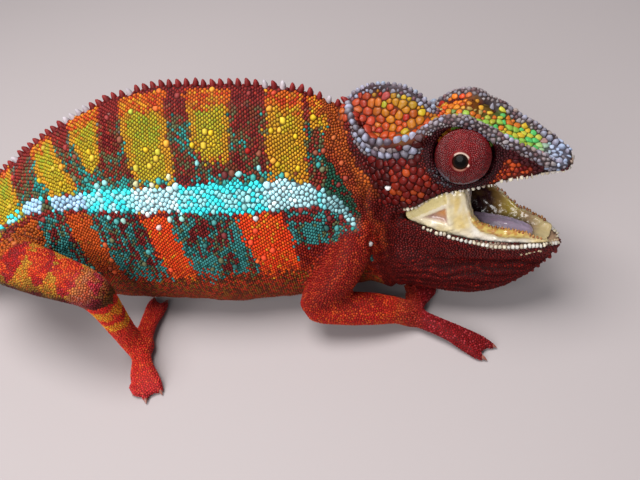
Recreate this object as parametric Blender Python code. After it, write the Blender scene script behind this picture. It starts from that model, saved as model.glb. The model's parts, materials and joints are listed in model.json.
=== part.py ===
"""Panther chameleon, life size, standing on the floor with its mouth open.

The head points along +X, the animal's left side along +Y and up is +Z.  The floor is the plane
Z = 0.  The body is modelled whole in millimetres, parted into named nodes with thin cuts, and
scaled to metres at the end.  Each node is one closed solid with its own material.
"""

import math
from dataclasses import dataclass

import bmesh
import bpy
import numpy as np
from mathutils import Matrix, Vector

# ---------------------------------------------------------------------------------------------
# Driving dimensions, in millimetres and degrees
# ---------------------------------------------------------------------------------------------
MILLIMETRE = 0.001
CUT = 0.4  # width of the thin cuts that part the nodes
CLEARANCE = 0.3  # gap between an inset piece and what it sits in
VOXEL = 0.62  # grain of the joined body before it is thinned out
SMOOTHING = 5  # rounds of smoothing over the joined forms
FLOOR_BITE = 0.45  # how far the soles sink before the floor flats are cut
FLOOR_LEVEL = 0.12  # height of the cut that makes the floor flats
BODY_FACES = 11000  # triangles kept on the joined body while it is parted
FACES = {  # triangles kept on each node
    "head": 1060,
    "lower_jaw": 380,
    "throat": 300,
    "neck": 220,
    "trunk": 620,
    "tail": 190,
    "upper": 170,
    "lower": 160,
    "end": 270,
}
SCRAP = 30.0  # slivers of less volume than this are dropped after a cut
SHELL_FACES = 3600  # triangles kept on the copy of the head that trims the mouth lining

LEAN = 17.0  # the trunk's top leans towards +Y
HEAD_PLACE = Vector((30.3, -14.9, 33.0))  # middle of the line between the mouth corners
HEAD_YAW = -18.6
HEAD_PITCH = 13.1
HEAD_ROLL = -10.0

EYE_PLACE = Vector((13.3, 9.3, 11.0))  # turret centre, left side, in the head's own axes
EYE_FORWARD = 8.0
EYE_RAISED = 14.0
TURRET_RADIUS = 6.1
TURRET_BASE = 4.4  # how far inside the centre the turret's flat base stands
PUPIL_RIM = 1.75  # radius of the turret's opening
EYE_RADIUS = 4.3

TAIL_LENGTH = 236.0
TAIL_ROOT_RADIUS = 9.2
TAIL_TIP_RADIUS = 1.15
TAIL_SINK = 1.3  # how far the tail's underside aims below the floor, to be cut flat
TAIL_CUTS = (0.0, 0.2, 0.42, 0.68)  # shares of the tail length where it is parted

CREST_TEETH = 42
CREST_HEIGHT = 2.1
GULAR_TEETH = 13
GULAR_HEIGHT = 1.5

CLAW_LENGTH = 1.6
CLAW_RADIUS = 0.6

RED = (0.43, 0.05, 0.03)
MAROON = (0.25, 0.03, 0.03)
ORANGE = (0.62, 0.16, 0.03)
CREAM = (0.72, 0.6, 0.3)
LAVENDER = (0.55, 0.42, 0.55)
HORN = (0.5, 0.4, 0.28)
EYE_DARK = (0.02, 0.015, 0.015)


@dataclass(frozen=True)
class TrunkSection:
    """One upright section of the trunk: its place along X, its middle and its half axes."""

    x: float
    y: float
    z: float
    tall: float
    wide: float


@dataclass(frozen=True)
class SkullSection:
    """One section of the upper head, as half outlines (side, height) at a place along it."""

    x: float
    palate: float
    lip: tuple
    cheek: tuple
    crest: tuple
    crown: float


@dataclass(frozen=True)
class JawSection:
    """One section of the lower jaw: lip and side (side, height), trough floor and underside."""

    x: float
    lip: tuple
    side: tuple
    floor: float
    under: float


@dataclass(frozen=True)
class PouchSection:
    """One section of the throat pouch in the head's own axes."""

    x: float
    top: float
    bottom: float
    wide: float


@dataclass(frozen=True)
class LimbPoint:
    """One place along a limb or toe, with the flesh radius there."""

    x: float
    y: float
    z: float
    radius: float


TRUNK = (
    TrunkSection(-101.0, -9.0, 18.7, 8.4, 6.6),
    TrunkSection(-95.0, -9.6, 19.9, 11.9, 8.4),
    TrunkSection(-82.0, -11.2, 22.5, 18.4, 10.6),
    TrunkSection(-63.0, -12.8, 28.0, 24.2, 12.4),
    TrunkSection(-47.0, -13.8, 31.5, 27.8, 13.4),
    TrunkSection(-34.0, -14.4, 32.5, 29.6, 13.9),
    TrunkSection(-21.0, -14.9, 32.0, 30.2, 14.0),
    TrunkSection(-7.0, -15.0, 31.5, 29.3, 13.2),
    TrunkSection(3.0, -14.9, 30.3, 27.9, 11.9),
    TrunkSection(11.0, -14.6, 29.0, 25.4, 11.0),
    TrunkSection(18.0, -14.5, 26.8, 22.4, 10.6),
    TrunkSection(24.0, -14.8, 23.0, 17.5, 10.0),
    TrunkSection(28.5, -15.2, 18.6, 11.0, 8.0),
    TrunkSection(31.0, -15.6, 16.6, 5.0, 4.0),
)

SKULL = (
    SkullSection(-14.9, 19.0, (1.2, 19.6), (2.0, 20.8), (1.9, 22.3), 22.9),
    SkullSection(-12.8, 10.5, (6.0, 11.0), (7.6, 16.0), (5.4, 21.4), 24.9),
    SkullSection(-10.2, 3.0, (9.2, 4.0), (10.2, 12.0), (8.0, 18.6), 26.1),
    SkullSection(-6.5, -2.5, (10.6, -1.5), (11.8, 8.0), (9.2, 15.5), 26.4),
    SkullSection(-2.5, -3.0, (11.3, -2.2), (12.6, 6.5), (9.8, 14.9), 25.8),
    SkullSection(1.5, 0.5, (11.2, -0.9), (12.4, 6.5), (9.7, 15.1), 23.9),
    SkullSection(5.0, 2.6, (10.8, 0.4), (11.2, 7.0), (8.8, 16.3), 19.8),
    SkullSection(8.8, 3.8, (10.1, 1.2), (9.4, 7.5), (7.7, 18.7), 17.2),
    SkullSection(13.0, 4.5, (9.2, 1.6), (8.2, 8.0), (7.5, 18.8), 16.4),
    SkullSection(17.5, 4.6, (8.3, 1.6), (7.4, 7.5), (7.2, 16.0), 14.1),
    SkullSection(22.0, 4.5, (7.4, 1.9), (6.7, 6.0), (6.9, 12.7), 11.0),
    SkullSection(26.5, 4.3, (6.2, 2.4), (5.8, 4.8), (6.4, 9.4), 8.0),
    SkullSection(30.5, 3.9, (4.7, 2.7), (4.7, 3.9), (5.5, 6.3), 5.6),
    SkullSection(33.4, 3.4, (3.0, 2.6), (3.2, 3.3), (4.0, 4.7), 4.6),
    SkullSection(34.9, 3.2, (1.0, 2.8), (1.2, 3.2), (1.4, 3.9), 4.0),
)

JAW = (
    JawSection(-7.0, (9.5, -6.5), (9.5, -9.5), -7.0, -14.0),
    JawSection(-2.5, (11.2, -4.2), (11.0, -9.0), -8.5, -17.5),
    JawSection(2.0, (11.3, -6.2), (10.9, -11.0), -11.0, -19.0),
    JawSection(6.0, (10.9, -8.2), (10.3, -12.8), -13.0, -19.8),
    JawSection(10.5, (10.3, -10.0), (9.6, -14.5), -14.4, -20.3),
    JawSection(16.0, (9.3, -11.7), (8.5, -16.0), -15.6, -20.6),
    JawSection(21.5, (7.9, -12.9), (7.0, -17.0), -16.4, -20.6),
    JawSection(26.5, (5.8, -14.2), (5.0, -17.8), -17.0, -20.4),
    JawSection(29.5, (3.4, -15.4), (2.9, -18.0), -17.2, -19.8),
    JawSection(31.2, (0.9, -16.2), (0.8, -17.6), -17.0, -18.6),
)

POUCH = (
    PouchSection(-21.0, 2.0, -24.4, 9.4),
    PouchSection(-15.0, 2.0, -29.0, 12.0),
    PouchSection(-8.0, -4.0, -28.5, 12.2),
    PouchSection(0.0, -11.0, -30.4, 11.2),
    PouchSection(8.0, -15.5, -32.2, 9.6),
    PouchSection(15.0, -17.0, -31.2, 8.0),
    PouchSection(20.0, -17.6, -28.6, 6.6),
    PouchSection(24.5, -18.0, -25.2, 5.0),
    PouchSection(28.0, -18.0, -22.0, 3.0),
    PouchSection(29.8, -18.2, -20.4, 1.2),
)

RIGHT_ARM = (
    LimbPoint(12.5, -17.0, 27.5, 7.0),
    LimbPoint(12.0, -24.8, 25.6, 6.3),
    LimbPoint(7.6, -31.0, 18.4, 5.3),
    LimbPoint(1.3, -33.8, 11.2, 4.8),
    LimbPoint(7.6, -34.3, 9.2, 4.7),
    LimbPoint(15.4, -34.0, 7.8, 4.5),
    LimbPoint(22.0, -33.4, 5.7, 3.8),
    LimbPoint(25.5, -33.2, 3.0, 3.5),
)
LEFT_ARM = (
    LimbPoint(10.0, -12.0, 27.0, 7.0),
    LimbPoint(9.0, -4.0, 25.0, 6.4),
    LimbPoint(4.0, 4.5, 17.5, 5.6),
    LimbPoint(-1.5, 9.5, 9.8, 4.9),
    LimbPoint(5.5, 11.8, 8.0, 4.8),
    LimbPoint(14.0, 14.0, 7.0, 4.3),
    LimbPoint(21.0, 15.5, 5.2, 3.5),
    LimbPoint(24.0, 16.2, 3.0, 3.5),
)
RIGHT_LEG = (
    LimbPoint(-86.0, -17.0, 27.0, 9.0),
    LimbPoint(-79.0, -26.5, 29.0, 7.2),
    LimbPoint(-64.0, -35.0, 30.6, 6.1),
    LimbPoint(-51.3, -40.2, 29.6, 4.9),
    LimbPoint(-49.6, -40.0, 23.0, 4.0),
    LimbPoint(-49.6, -39.2, 13.5, 3.5),
    LimbPoint(-49.4, -38.3, 6.5, 3.5),
    LimbPoint(-47.6, -38.6, 3.2, 4.1),
)
LEFT_LEG = (
    LimbPoint(-86.0, -4.5, 25.0, 9.0),
    LimbPoint(-79.0, 4.5, 27.5, 7.4),
    LimbPoint(-67.0, 12.0, 28.0, 6.2),
    LimbPoint(-56.0, 17.5, 26.0, 4.9),
    LimbPoint(-57.5, 18.5, 19.5, 4.4),
    LimbPoint(-60.5, 19.5, 11.5, 4.1),
    LimbPoint(-62.5, 20.0, 6.0, 3.7),
    LimbPoint(-62.0, 20.4, 3.2, 3.8),
)

# Toe tips on the floor, bundle by bundle, for the hands (two outer, three inner toes)
# and for the feet (three outer, two inner toes).
TOES = {
    "right_hand": (
        (25.5, -33.2),
        ((43.0, -41.6), (40.3, -44.6)),
        ((31.4, -24.6), (28.6, -23.4), (25.6, -23.4)),
    ),
    "left_hand": (
        (24.0, 16.2),
        ((40.4, 23.2), (37.6, 26.2)),
        ((30.6, 7.0), (27.6, 5.6), (24.2, 5.2)),
    ),
    "right_foot": (
        (-47.6, -38.8),
        ((-41.0, -49.6), (-43.9, -51.6), (-47.2, -49.2)),
        ((-44.8, -24.2), (-48.4, -23.0)),
    ),
    "left_foot": (
        (-62.0, 20.4),
        ((-50.8, 28.8), (-53.8, 31.6), (-57.6, 32.4)),
        ((-57.0, 6.8), (-60.6, 6.4)),
    ),
}
TOE_RADIUS = 1.85


# ---------------------------------------------------------------------------------------------
# Small helpers
# ---------------------------------------------------------------------------------------------
def head_matrix():
    """Matrix from the head's own axes to the body frame."""
    turn = Matrix.Rotation(math.radians(HEAD_YAW), 4, "Z")
    pitch = Matrix.Rotation(math.radians(-HEAD_PITCH), 4, "Y")
    roll = Matrix.Rotation(math.radians(HEAD_ROLL), 4, "X")
    return Matrix.Translation(HEAD_PLACE) @ turn @ pitch @ roll


HEAD = head_matrix()


def place(rings, matrix):
    """Points of the rings moved by a matrix."""
    turn = np.array(matrix.to_3x3())
    shift = np.array(matrix.translation)
    return [ring @ turn.T + shift for ring in rings]


def smooth_through(values, steps):
    """Catmull-Rom curve through rows of numbers, with a number of steps to each span."""
    rows = np.array(values, float)
    padded = np.vstack([2 * rows[0] - rows[1], rows, 2 * rows[-1] - rows[-2]])
    out = []
    for i in range(len(rows) - 1):
        before, start, end, after = padded[i : i + 4]
        for t in np.arange(steps) / steps:
            out.append(
                0.5
                * (
                    2 * start
                    + (end - before) * t
                    + (2 * before - 5 * start + 4 * end - after) * t**2
                    + (3 * start - before - 3 * end + after) * t**3
                )
            )
    out.append(rows[-1])
    return np.array(out)


def link(mesh, name):
    """Object made from a mesh, linked to the scene."""
    made = bpy.data.objects.new(name, mesh)
    bpy.context.collection.objects.link(made)
    return made


def loft(name, rings):
    """Closed solid through rings of equal count, with a fan over each end."""
    count = len(rings[0])
    points = [tuple(p) for ring in rings for p in ring]
    faces = []
    for i in range(len(rings) - 1):
        for j in range(count):
            k = (j + 1) % count
            a, b = i * count, (i + 1) * count
            faces.append((a + j, a + k, b + k, b + j))
    first, last = len(points), len(points) + 1
    points.append(tuple(np.mean(rings[0], axis=0)))
    points.append(tuple(np.mean(rings[-1], axis=0)))
    end = (len(rings) - 1) * count
    for j in range(count):
        k = (j + 1) % count
        faces.append((first, k, j))
        faces.append((last, end + j, end + k))
    mesh = bpy.data.meshes.new(name)
    mesh.from_pydata(points, [], faces)
    tidy(mesh)
    return link(mesh, name)


def tidy(mesh):
    """Merge doubled points and turn every face outwards."""
    work = bmesh.new()
    work.from_mesh(mesh)
    bmesh.ops.remove_doubles(work, verts=work.verts, dist=1e-5)
    bmesh.ops.recalc_face_normals(work, faces=work.faces)
    work.to_mesh(mesh)
    work.free()


def tube(name, points, steps=4, sides=14):
    """Round tube with half-round ends through points that each carry a radius."""
    rows = smooth_through([(p.x, p.y, p.z, p.radius) for p in points], steps)
    centres, radii = rows[:, :3], rows[:, 3]
    ahead = np.gradient(centres, axis=0)
    ahead /= np.linalg.norm(ahead, axis=1)[:, None]
    side = np.cross(ahead[0], (0.0, 0.0, 1.0))
    if np.linalg.norm(side) < 0.2:
        side = np.cross(ahead[0], (0.0, 1.0, 0.0))
    turns = np.arange(sides) * 2 * math.pi / sides
    rings = []
    for i, (centre, radius, way) in enumerate(zip(centres, radii, ahead)):
        side = side - way * side.dot(way)
        side /= np.linalg.norm(side)
        up = np.cross(side, way)
        ring = np.outer(np.cos(turns), side) + np.outer(np.sin(turns), up)
        if i == 0:
            for slope in (80, 55, 28):
                rings.append(dome_ring(centre, radius, -way, ring, slope))
        rings.append(centre + radius * ring)
        if i == len(centres) - 1:
            for slope in (28, 55, 80):
                rings.append(dome_ring(centre, radius, way, ring, slope))
    return loft(name, rings)


def dome_ring(centre, radius, way, ring, slope):
    """One ring of a half-round end, at a slope in degrees from the rim."""
    angle = math.radians(slope)
    return centre + radius * (math.sin(angle) * way + math.cos(angle) * ring)


def ball(name, centre, radius, matrix=None, rings=8, sides=14):
    """Round ball, moved by a matrix if one is given."""
    work = bmesh.new()
    bmesh.ops.create_uvsphere(work, u_segments=sides, v_segments=rings, radius=radius)
    bmesh.ops.translate(work, verts=work.verts, vec=Vector(centre))
    if matrix is not None:
        bmesh.ops.transform(work, verts=work.verts, matrix=matrix)
    mesh = bpy.data.meshes.new(name)
    work.to_mesh(mesh)
    work.free()
    return link(mesh, name)


def box(name, low, high, matrix=None):
    """Box between two corners, moved by a matrix if one is given."""
    work = bmesh.new()
    bmesh.ops.create_cube(work, size=1.0)
    low, high = Vector(low), Vector(high)
    bmesh.ops.scale(work, verts=work.verts, vec=high - low)
    bmesh.ops.translate(work, verts=work.verts, vec=(high + low) / 2)
    if matrix is not None:
        bmesh.ops.transform(work, verts=work.verts, matrix=matrix)
    mesh = bpy.data.meshes.new(name)
    work.to_mesh(mesh)
    work.free()
    return link(mesh, name)


def disc(name, centre, way, radius):
    """Thin disc that cuts across a limb."""
    turn = Vector(way).to_track_quat("Z", "Y").to_matrix().to_4x4()
    work = bmesh.new()
    bmesh.ops.create_cone(
        work,
        cap_ends=True,
        segments=20,
        radius1=radius,
        radius2=radius,
        depth=CUT,
        matrix=Matrix.Translation(Vector(centre)) @ turn,
    )
    mesh = bpy.data.meshes.new(name)
    work.to_mesh(mesh)
    work.free()
    return link(mesh, name)


def join(objects, name):
    """One object holding the meshes of several, whose own objects are removed."""
    work = bmesh.new()
    for item in objects:
        work.from_mesh(item.data)
    mesh = bpy.data.meshes.new(name)
    work.to_mesh(mesh)
    work.free()
    for item in objects:
        bpy.data.objects.remove(item)
    return link(mesh, name)


def bake(item, modifier):
    """Put the modifier's result into the object's own mesh."""
    graph = bpy.context.evaluated_depsgraph_get()
    graph.update()
    mesh = bpy.data.meshes.new_from_object(item.evaluated_get(graph))
    item.modifiers.remove(modifier)
    old = item.data
    item.data = mesh
    bpy.data.meshes.remove(old)


def combine(item, other, operation):
    """Boolean of one object with another, which is then removed."""
    modifier = item.modifiers.new("combine", "BOOLEAN")
    modifier.operation = operation
    modifier.solver = "EXACT"
    modifier.object = other
    bake(item, modifier)
    bpy.data.objects.remove(other)


def bounds_of(item):
    """Lowest and highest corner of an object's own mesh."""
    points = np.array([v.co for v in item.data.vertices])
    return points.min(axis=0), points.max(axis=0)


def cut_parts(parts, cutter):
    """Cut every part that the cutter reaches, and return the separate bodies that result."""
    low, high = bounds_of(cutter)
    made = []
    for item in parts:
        first, last = bounds_of(item)
        if (first > high).any() or (last < low).any():
            made.append(item)
            continue
        combine(item, copy_of(cutter, "cutter"), "DIFFERENCE")
        pieces = loose_parts(item)
        for piece in pieces:
            if volume_of(piece) > SCRAP:
                made.append(piece)
            else:
                bpy.data.objects.remove(piece)
    bpy.data.objects.remove(cutter)
    return made


def remesh(item, size, rounds):
    """Join overlapping forms into one even skin, then smooth it."""
    modifier = item.modifiers.new("even", "REMESH")
    modifier.mode = "VOXEL"
    modifier.voxel_size = size
    modifier.adaptivity = 0.0
    bake(item, modifier)
    modifier = item.modifiers.new("soften", "SMOOTH")
    modifier.factor = 0.5
    modifier.iterations = rounds
    bake(item, modifier)


def thin_out(item, faces):
    """Reduce the object to about a number of triangles."""
    item.data.calc_loop_triangles()
    share = min(1.0, faces / len(item.data.loop_triangles))
    modifier = item.modifiers.new("fewer", "DECIMATE")
    modifier.ratio = share
    modifier.use_collapse_triangulate = True
    bake(item, modifier)


def grow(item, distance):
    """Move every point of the object outwards along its normal."""
    modifier = item.modifiers.new("grow", "DISPLACE")
    modifier.strength = distance
    modifier.mid_level = 0.0
    bake(item, modifier)


def copy_of(item, name):
    """Full copy of an object with its own mesh."""
    return link(item.data.copy(), name)


# ---------------------------------------------------------------------------------------------
# Forms of the body
# ---------------------------------------------------------------------------------------------
def trunk_form():
    """Trunk and neck: tall, narrow sections that lean, with a ridge along the back."""
    rows = [(s.x, s.y, s.z, s.tall, s.wide) for s in TRUNK]
    lean = math.radians(LEAN)
    long_way = np.array([0.0, math.sin(lean), math.cos(lean)])
    cross_way = np.array([0.0, math.cos(lean), -math.sin(lean)])
    turns = np.arange(32) * 2 * math.pi / 32
    rings = []
    for x, y, z, tall, wide in smooth_through(rows, 3):
        rise, out = np.cos(turns), np.sin(turns)
        upper = np.clip(rise, 0.0, 1.0)
        lower = np.clip(-rise, 0.0, 1.0)
        out = out * (1.04 - 0.34 * upper**2 - 0.14 * lower**2)
        ring = np.outer(tall * rise, long_way) + np.outer(wide * out, cross_way)
        rings.append(ring + (x, y, z))
    return loft("trunk_form", rings)


def tail_path():
    """Middle line and radius of the tail, from its root to its tip."""
    steps = 60
    length = TAIL_LENGTH / steps
    place_now = Vector((-96.0, -9.4, 19.0))
    rows = []
    for i in range(steps + 1):
        share = i / steps
        radius = TAIL_TIP_RADIUS + (TAIL_ROOT_RADIUS - TAIL_TIP_RADIUS) * (1 - share) ** 0.95
        rows.append((place_now.copy(), radius))
        heading = math.radians(8 + 34 * math.sin(min(share, 0.55) / 0.55 * math.pi))
        heading += math.radians(300) * max(0.0, share - 0.62) ** 1.25
        step = Vector((-math.cos(heading), math.sin(heading), 0.0)) * length
        rest = radius * 0.94 - TAIL_SINK
        drop = (place_now.z - rest) * 0.16
        step.z = -min(drop, 0.55 * length)
        place_now = place_now + step
    return rows


def tail_form():
    """The tail as one tube that comes down to the floor and curls at its tip."""
    points = [LimbPoint(p.x, p.y, p.z, r) for p, r in tail_path()]
    return tube("tail_form", points[::2], steps=2, sides=16)


def outline_ring(x, half):
    """Closed ring from a half outline (side, height) that runs from underside to crown."""
    right = [(x, -y, z) for y, z in half]
    left = [(x, y, z) for y, z in reversed(half)]
    return np.array(right + left[1:-1])


def skull_form():
    """Upper head: casque, brow and snout, with the roof of the mouth beneath."""
    rows = [(s.x, s.palate, *s.lip, *s.cheek, *s.crest, s.crown) for s in SKULL]
    rings = []
    for x, palate, ly, lz, cy, cz, ky, kz, crown in smooth_through(rows, 3):
        dip = 0.18 * max(0.0, crown - kz)
        half = [
            (0.0, palate),
            (ly * 0.5, palate - 0.1),
            (ly * 0.88, lz + 0.35 * (palate - lz)),
            (ly, lz),
            (ly + 0.35 * (cy - ly), lz + 0.3 * (cz - lz)),
            (cy, cz),
            (cy + 0.35 * (ky - cy), cz + 0.45 * (kz - cz)),
            (ky + 0.25, kz - 1.1),
            (ky, kz),
            (ky * 0.82, kz - 0.2 + 0.12 * (crown - kz)),
            (ky * 0.5, kz + 0.45 * (crown - kz) - dip),
            (ky * 0.2, kz + 0.82 * (crown - kz) - dip * 0.5),
            (0.0, crown),
        ]
        rings.append(outline_ring(x, half))
    return loft("skull_form", place(rings, HEAD))


def crest_forms():
    """Raised rims along the casque and brow, and the middle ridge of the casque."""
    forms = []
    for side in (-1, 1):
        points = []
        for s in SKULL[1:-1]:
            spot = HEAD @ Vector((s.x, side * s.crest[0], s.crest[1] - 0.2))
            points.append(LimbPoint(*spot, 1.15))
        forms.append(tube("rim", points, steps=3, sides=8))
    ridge = []
    for s in SKULL[1:7]:
        spot = HEAD @ Vector((s.x, 0.0, s.crown - 0.8))
        ridge.append(LimbPoint(*spot, 1.1))
    forms.append(tube("ridge", ridge, steps=3, sides=8))
    return forms


def jaw_form():
    """Lower jaw: a trough with raised lips."""
    rows = [(s.x, *s.lip, *s.side, s.floor, s.under) for s in JAW]
    rings = []
    for x, ly, lz, sy, sz, floor, under in smooth_through(rows, 3):
        inner = ly * 0.72
        half = [
            (0.0, under),
            (sy * 0.55, under + 0.15 * (sz - under)),
            (sy * 0.9, under + 0.55 * (sz - under)),
            (sy, sz),
            (ly + 0.1, lz - 1.3),
            (ly - 0.1, lz),
            (ly * 0.88, lz - 0.1),
            (inner, 0.45 * lz + 0.55 * floor),
            (inner * 0.6, floor + 0.1),
            (0.0, floor),
        ]
        rings.append(outline_ring(x, half))
    return loft("jaw_form", place(rings, HEAD))


def pouch_form():
    """Throat pouch beneath the jaw, narrowing to a keel."""
    rows = [(s.x, s.top, s.bottom, s.wide) for s in POUCH]
    turns = np.arange(24) * 2 * math.pi / 24
    rings = []
    for x, top, bottom, wide in smooth_through(rows, 3):
        rise, out = np.cos(turns), np.sin(turns)
        keel = min(1.0, max(0.0, (x - 2.0) / 12.0))
        square = 0.68 + 0.32 * min(1.0, max(0.0, (x + 12.0) / 9.0))
        rise, out = np.sign(rise) * abs(rise) ** square, np.sign(out) * abs(out) ** square
        lower = np.clip(-rise, 0.0, 1.0)
        out = out * (1.0 - 0.3 * keel * lower**2)
        middle, half = (top + bottom) / 2, (top - bottom) / 2
        rings.append(np.column_stack([np.full(24, x), wide * out, middle + half * rise]))
    return loft("pouch_form", place(rings, HEAD))


def toe_points(limb):
    """Points of each toe of a hand or foot, from the palm to the tip."""
    (px, py), outer, inner = TOES[limb]
    toes = []
    for bundle in (outer, inner):
        middle = Vector((sum(t[0] for t in bundle), sum(t[1] for t in bundle), 0.0))
        middle /= len(bundle)
        for tx, ty in bundle:
            tip = Vector((tx, ty, 0.0))
            root = Vector((px, py, 0.0))
            knuckle = root.lerp(tip, 0.52).lerp(root.lerp(middle, 0.52), 0.45)
            toes.append(
                (
                    LimbPoint(root.x, root.y, 3.0, TOE_RADIUS * 1.5),
                    LimbPoint(knuckle.x, knuckle.y, 3.0, TOE_RADIUS * 1.2),
                    LimbPoint(*root.lerp(tip, 0.82).xy, 2.0, TOE_RADIUS),
                    LimbPoint(tip.x, tip.y, TOE_RADIUS * 0.78 - FLOOR_BITE, TOE_RADIUS * 0.78),
                )
            )
    return toes


def limb_forms():
    """The four limbs with their toes."""
    limbs = {"right_hand": RIGHT_ARM, "left_hand": LEFT_ARM}
    limbs.update({"right_foot": RIGHT_LEG, "left_foot": LEFT_LEG})
    forms = []
    for name, points in limbs.items():
        forms.append(tube(name + "_limb", points, steps=5, sides=14))
        for toe in toe_points(name):
            forms.append(tube(name + "_toe", toe, steps=3, sides=10))
    return forms


def turret_axis(side):
    """Place and direction of one eye turret in the head's own axes."""
    centre = Vector((EYE_PLACE.x, side * EYE_PLACE.y, EYE_PLACE.z))
    forward, raised = math.radians(EYE_FORWARD), math.radians(EYE_RAISED)
    way = Vector(
        (
            math.cos(raised) * math.sin(forward),
            side * math.cos(raised) * math.cos(forward),
            math.sin(raised),
        )
    )
    return centre, way


def turret_body(name, side, extra):
    """Domed eye turret with a flat base, made larger all round by an extra."""
    centre, way = turret_axis(side)
    turn = way.to_track_quat("Z", "Y").to_matrix().to_4x4()
    matrix = HEAD @ Matrix.Translation(centre) @ turn
    turns = np.arange(14) * 2 * math.pi / 14
    round_ring = np.column_stack([np.cos(turns), np.sin(turns), np.zeros(14)])
    rings = []
    top = math.degrees(math.acos(PUPIL_RIM / TURRET_RADIUS))
    radius = TURRET_RADIUS + extra
    base = -TURRET_BASE - extra
    rings.append(round_ring * radius * 0.97 + (0, 0, base))
    for slope in np.linspace(4, top, 5):
        angle = math.radians(slope)
        flatter = 0.94 * radius * math.sin(angle)
        rings.append(round_ring * radius * math.cos(angle) + (0, 0, flatter))
    return loft(name, place(rings, matrix))


def eyeball(name, side, extra):
    """Eyeball behind the opening of the turret."""
    centre, way = turret_axis(side)
    depth = TURRET_RADIUS * 0.94 - EYE_RADIUS - 0.25
    return ball(name, centre + way * depth, EYE_RADIUS + extra, HEAD)


def mouth_block():
    """Solid that fills the gape from just inside the lips, to be hollowed as the mouth."""
    rings = []
    rows = []
    for s in JAW[1:9]:
        rows.append((s.x, s.lip[0] * 0.84, s.lip[1] - 0.2, s.floor - 1.4))
    for x, wide, lip, floor in smooth_through(rows, 3):
        share = min(1.0, max(0.0, (x + 2.5) / 29.0))
        gape = -2.0 + 3.6 * share
        roof = max(gape + 3.2, 2.2) if x < 12 else gape + 2.2
        top = roof if x < 11 else roof - (x - 11) * 1.15
        top = max(top, lip + 0.1)
        half = [
            (0.0, floor),
            (wide * 0.6, floor + 0.5),
            (wide, lip - 1.0),
            (wide, max(lip, min(top, gape + 1.2))),
            (wide * 0.93, max(lip + 0.05, top - 0.5)),
            (wide * 0.5, top),
            (0.0, top),
        ]
        rings.append(outline_ring(x, half))
    return loft("mouth_block", place(rings, HEAD))


def mouth_hollow():
    """Cavity of the mouth, open to the front between the jaws."""
    points = (
        (-2.5, 0.0, -5.0, 4.2),
        (3.0, 0.0, -6.0, 6.2),
        (9.0, 0.0, -7.5, 7.2),
        (15.0, 0.0, -8.8, 7.0),
        (21.0, 0.0, -10.0, 6.2),
        (27.0, 0.0, -11.4, 5.0),
        (33.0, 0.0, -12.5, 5.0),
    )
    tubes = [LimbPoint(*(HEAD @ Vector(p[:3])), p[3]) for p in points]
    return tube("mouth_hollow", tubes, steps=4, sides=18)


def tongue_form(name, extra):
    """Tongue resting in the trough of the lower jaw, made larger all round by an extra."""
    points = (
        (2.0, 0.0, -8.6, 1.9),
        (7.0, 0.0, -9.7, 2.5),
        (13.0, 0.0, -11.0, 2.9),
        (18.5, 0.0, -12.2, 2.8),
        (22.0, 0.0, -13.1, 2.1),
    )
    spots = [LimbPoint(*(HEAD @ Vector(p[:3])), p[3] + extra) for p in points]
    return tube(name, spots, steps=2, sides=10)


def toothed_ridge(name, spots, height, base):
    """Ridge that rises to a tooth at every second place and dips between them."""
    rings = []
    for i, (spot, way) in enumerate(spots):
        after = spots[min(i + 1, len(spots) - 1)][0]
        before = spots[max(i - 1, 0)][0]
        across = (after - before).cross(way).normalized()
        ends = i in (0, len(spots) - 1)
        rise = 0.02 if ends else height if i % 2 else height * 0.3
        half = base * (0.4 if ends else 1.0 if i % 2 else 0.7)
        foot = spot - way * 0.9
        rings.append(
            np.array([tuple(foot + across * half), tuple(foot - across * half), tuple(spot + way * rise)])
        )
    return loft(name, rings)


def drop_onto(item, start, way):
    """First point of the object met from a start along a direction."""
    found, spot, _, _ = item.ray_cast(start, way)
    return spot if found else None


def back_crest(body):
    """Teeth along the ridge of the back, standing on the body."""
    lean = math.radians(LEAN)
    up = Vector((0.0, math.sin(lean), math.cos(lean)))
    rows = smooth_through([(s.x, s.y, s.z, s.tall) for s in TRUNK[1:10]], 20)
    spots = []
    for x in np.linspace(rows[0][0], rows[-1][0] - 2.0, 2 * CREST_TEETH + 1):
        y = float(np.interp(x, rows[:, 0], rows[:, 1]))
        z = float(np.interp(x, rows[:, 0], rows[:, 2]))
        tall = float(np.interp(x, rows[:, 0], rows[:, 3]))
        start = Vector((x, y, z)) + up * (tall + 12.0)
        spot = drop_onto(body, start, -up)
        if spot is not None:
            spots.append((spot, (up + Vector((-0.18, 0.0, 0.0))).normalized()))
    return toothed_ridge("back_crest", spots, CREST_HEIGHT, 0.9)


def gular_crest(body):
    """Teeth along the keel of the throat pouch."""
    down = (HEAD.to_3x3() @ Vector((0.25, 0.0, -1.0))).normalized()
    rows = smooth_through([(s.x, s.bottom) for s in POUCH[3:9]], 10)
    spots = []
    for x in np.linspace(rows[0][0], rows[-1][0], 2 * GULAR_TEETH + 1):
        z = float(np.interp(x, rows[:, 0], rows[:, 1]))
        start = HEAD @ Vector((x, 0.0, z)) + down * 8.0
        spot = drop_onto(body, start, -down)
        if spot is not None and spot.z > 1.7:
            spots.append((spot, down))
    return toothed_ridge("gular_crest", spots, GULAR_HEIGHT, 0.8)


# ---------------------------------------------------------------------------------------------
# Cuts between the nodes
# ---------------------------------------------------------------------------------------------
def sheet(name, start, end, low, high):
    """Thin plate across the head between two (x, z) places, from a low to a high side."""
    along = Vector((end[0] - start[0], 0.0, end[1] - start[1]))
    length = along.length
    turn = Matrix.Rotation(-math.atan2(along.z, along.x), 4, "Y")
    shift = Matrix.Translation((start[0], 0.0, start[1]))
    return box(name, (0, low, -CUT / 2), (length, high, CUT / 2), HEAD @ shift @ turn)


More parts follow.
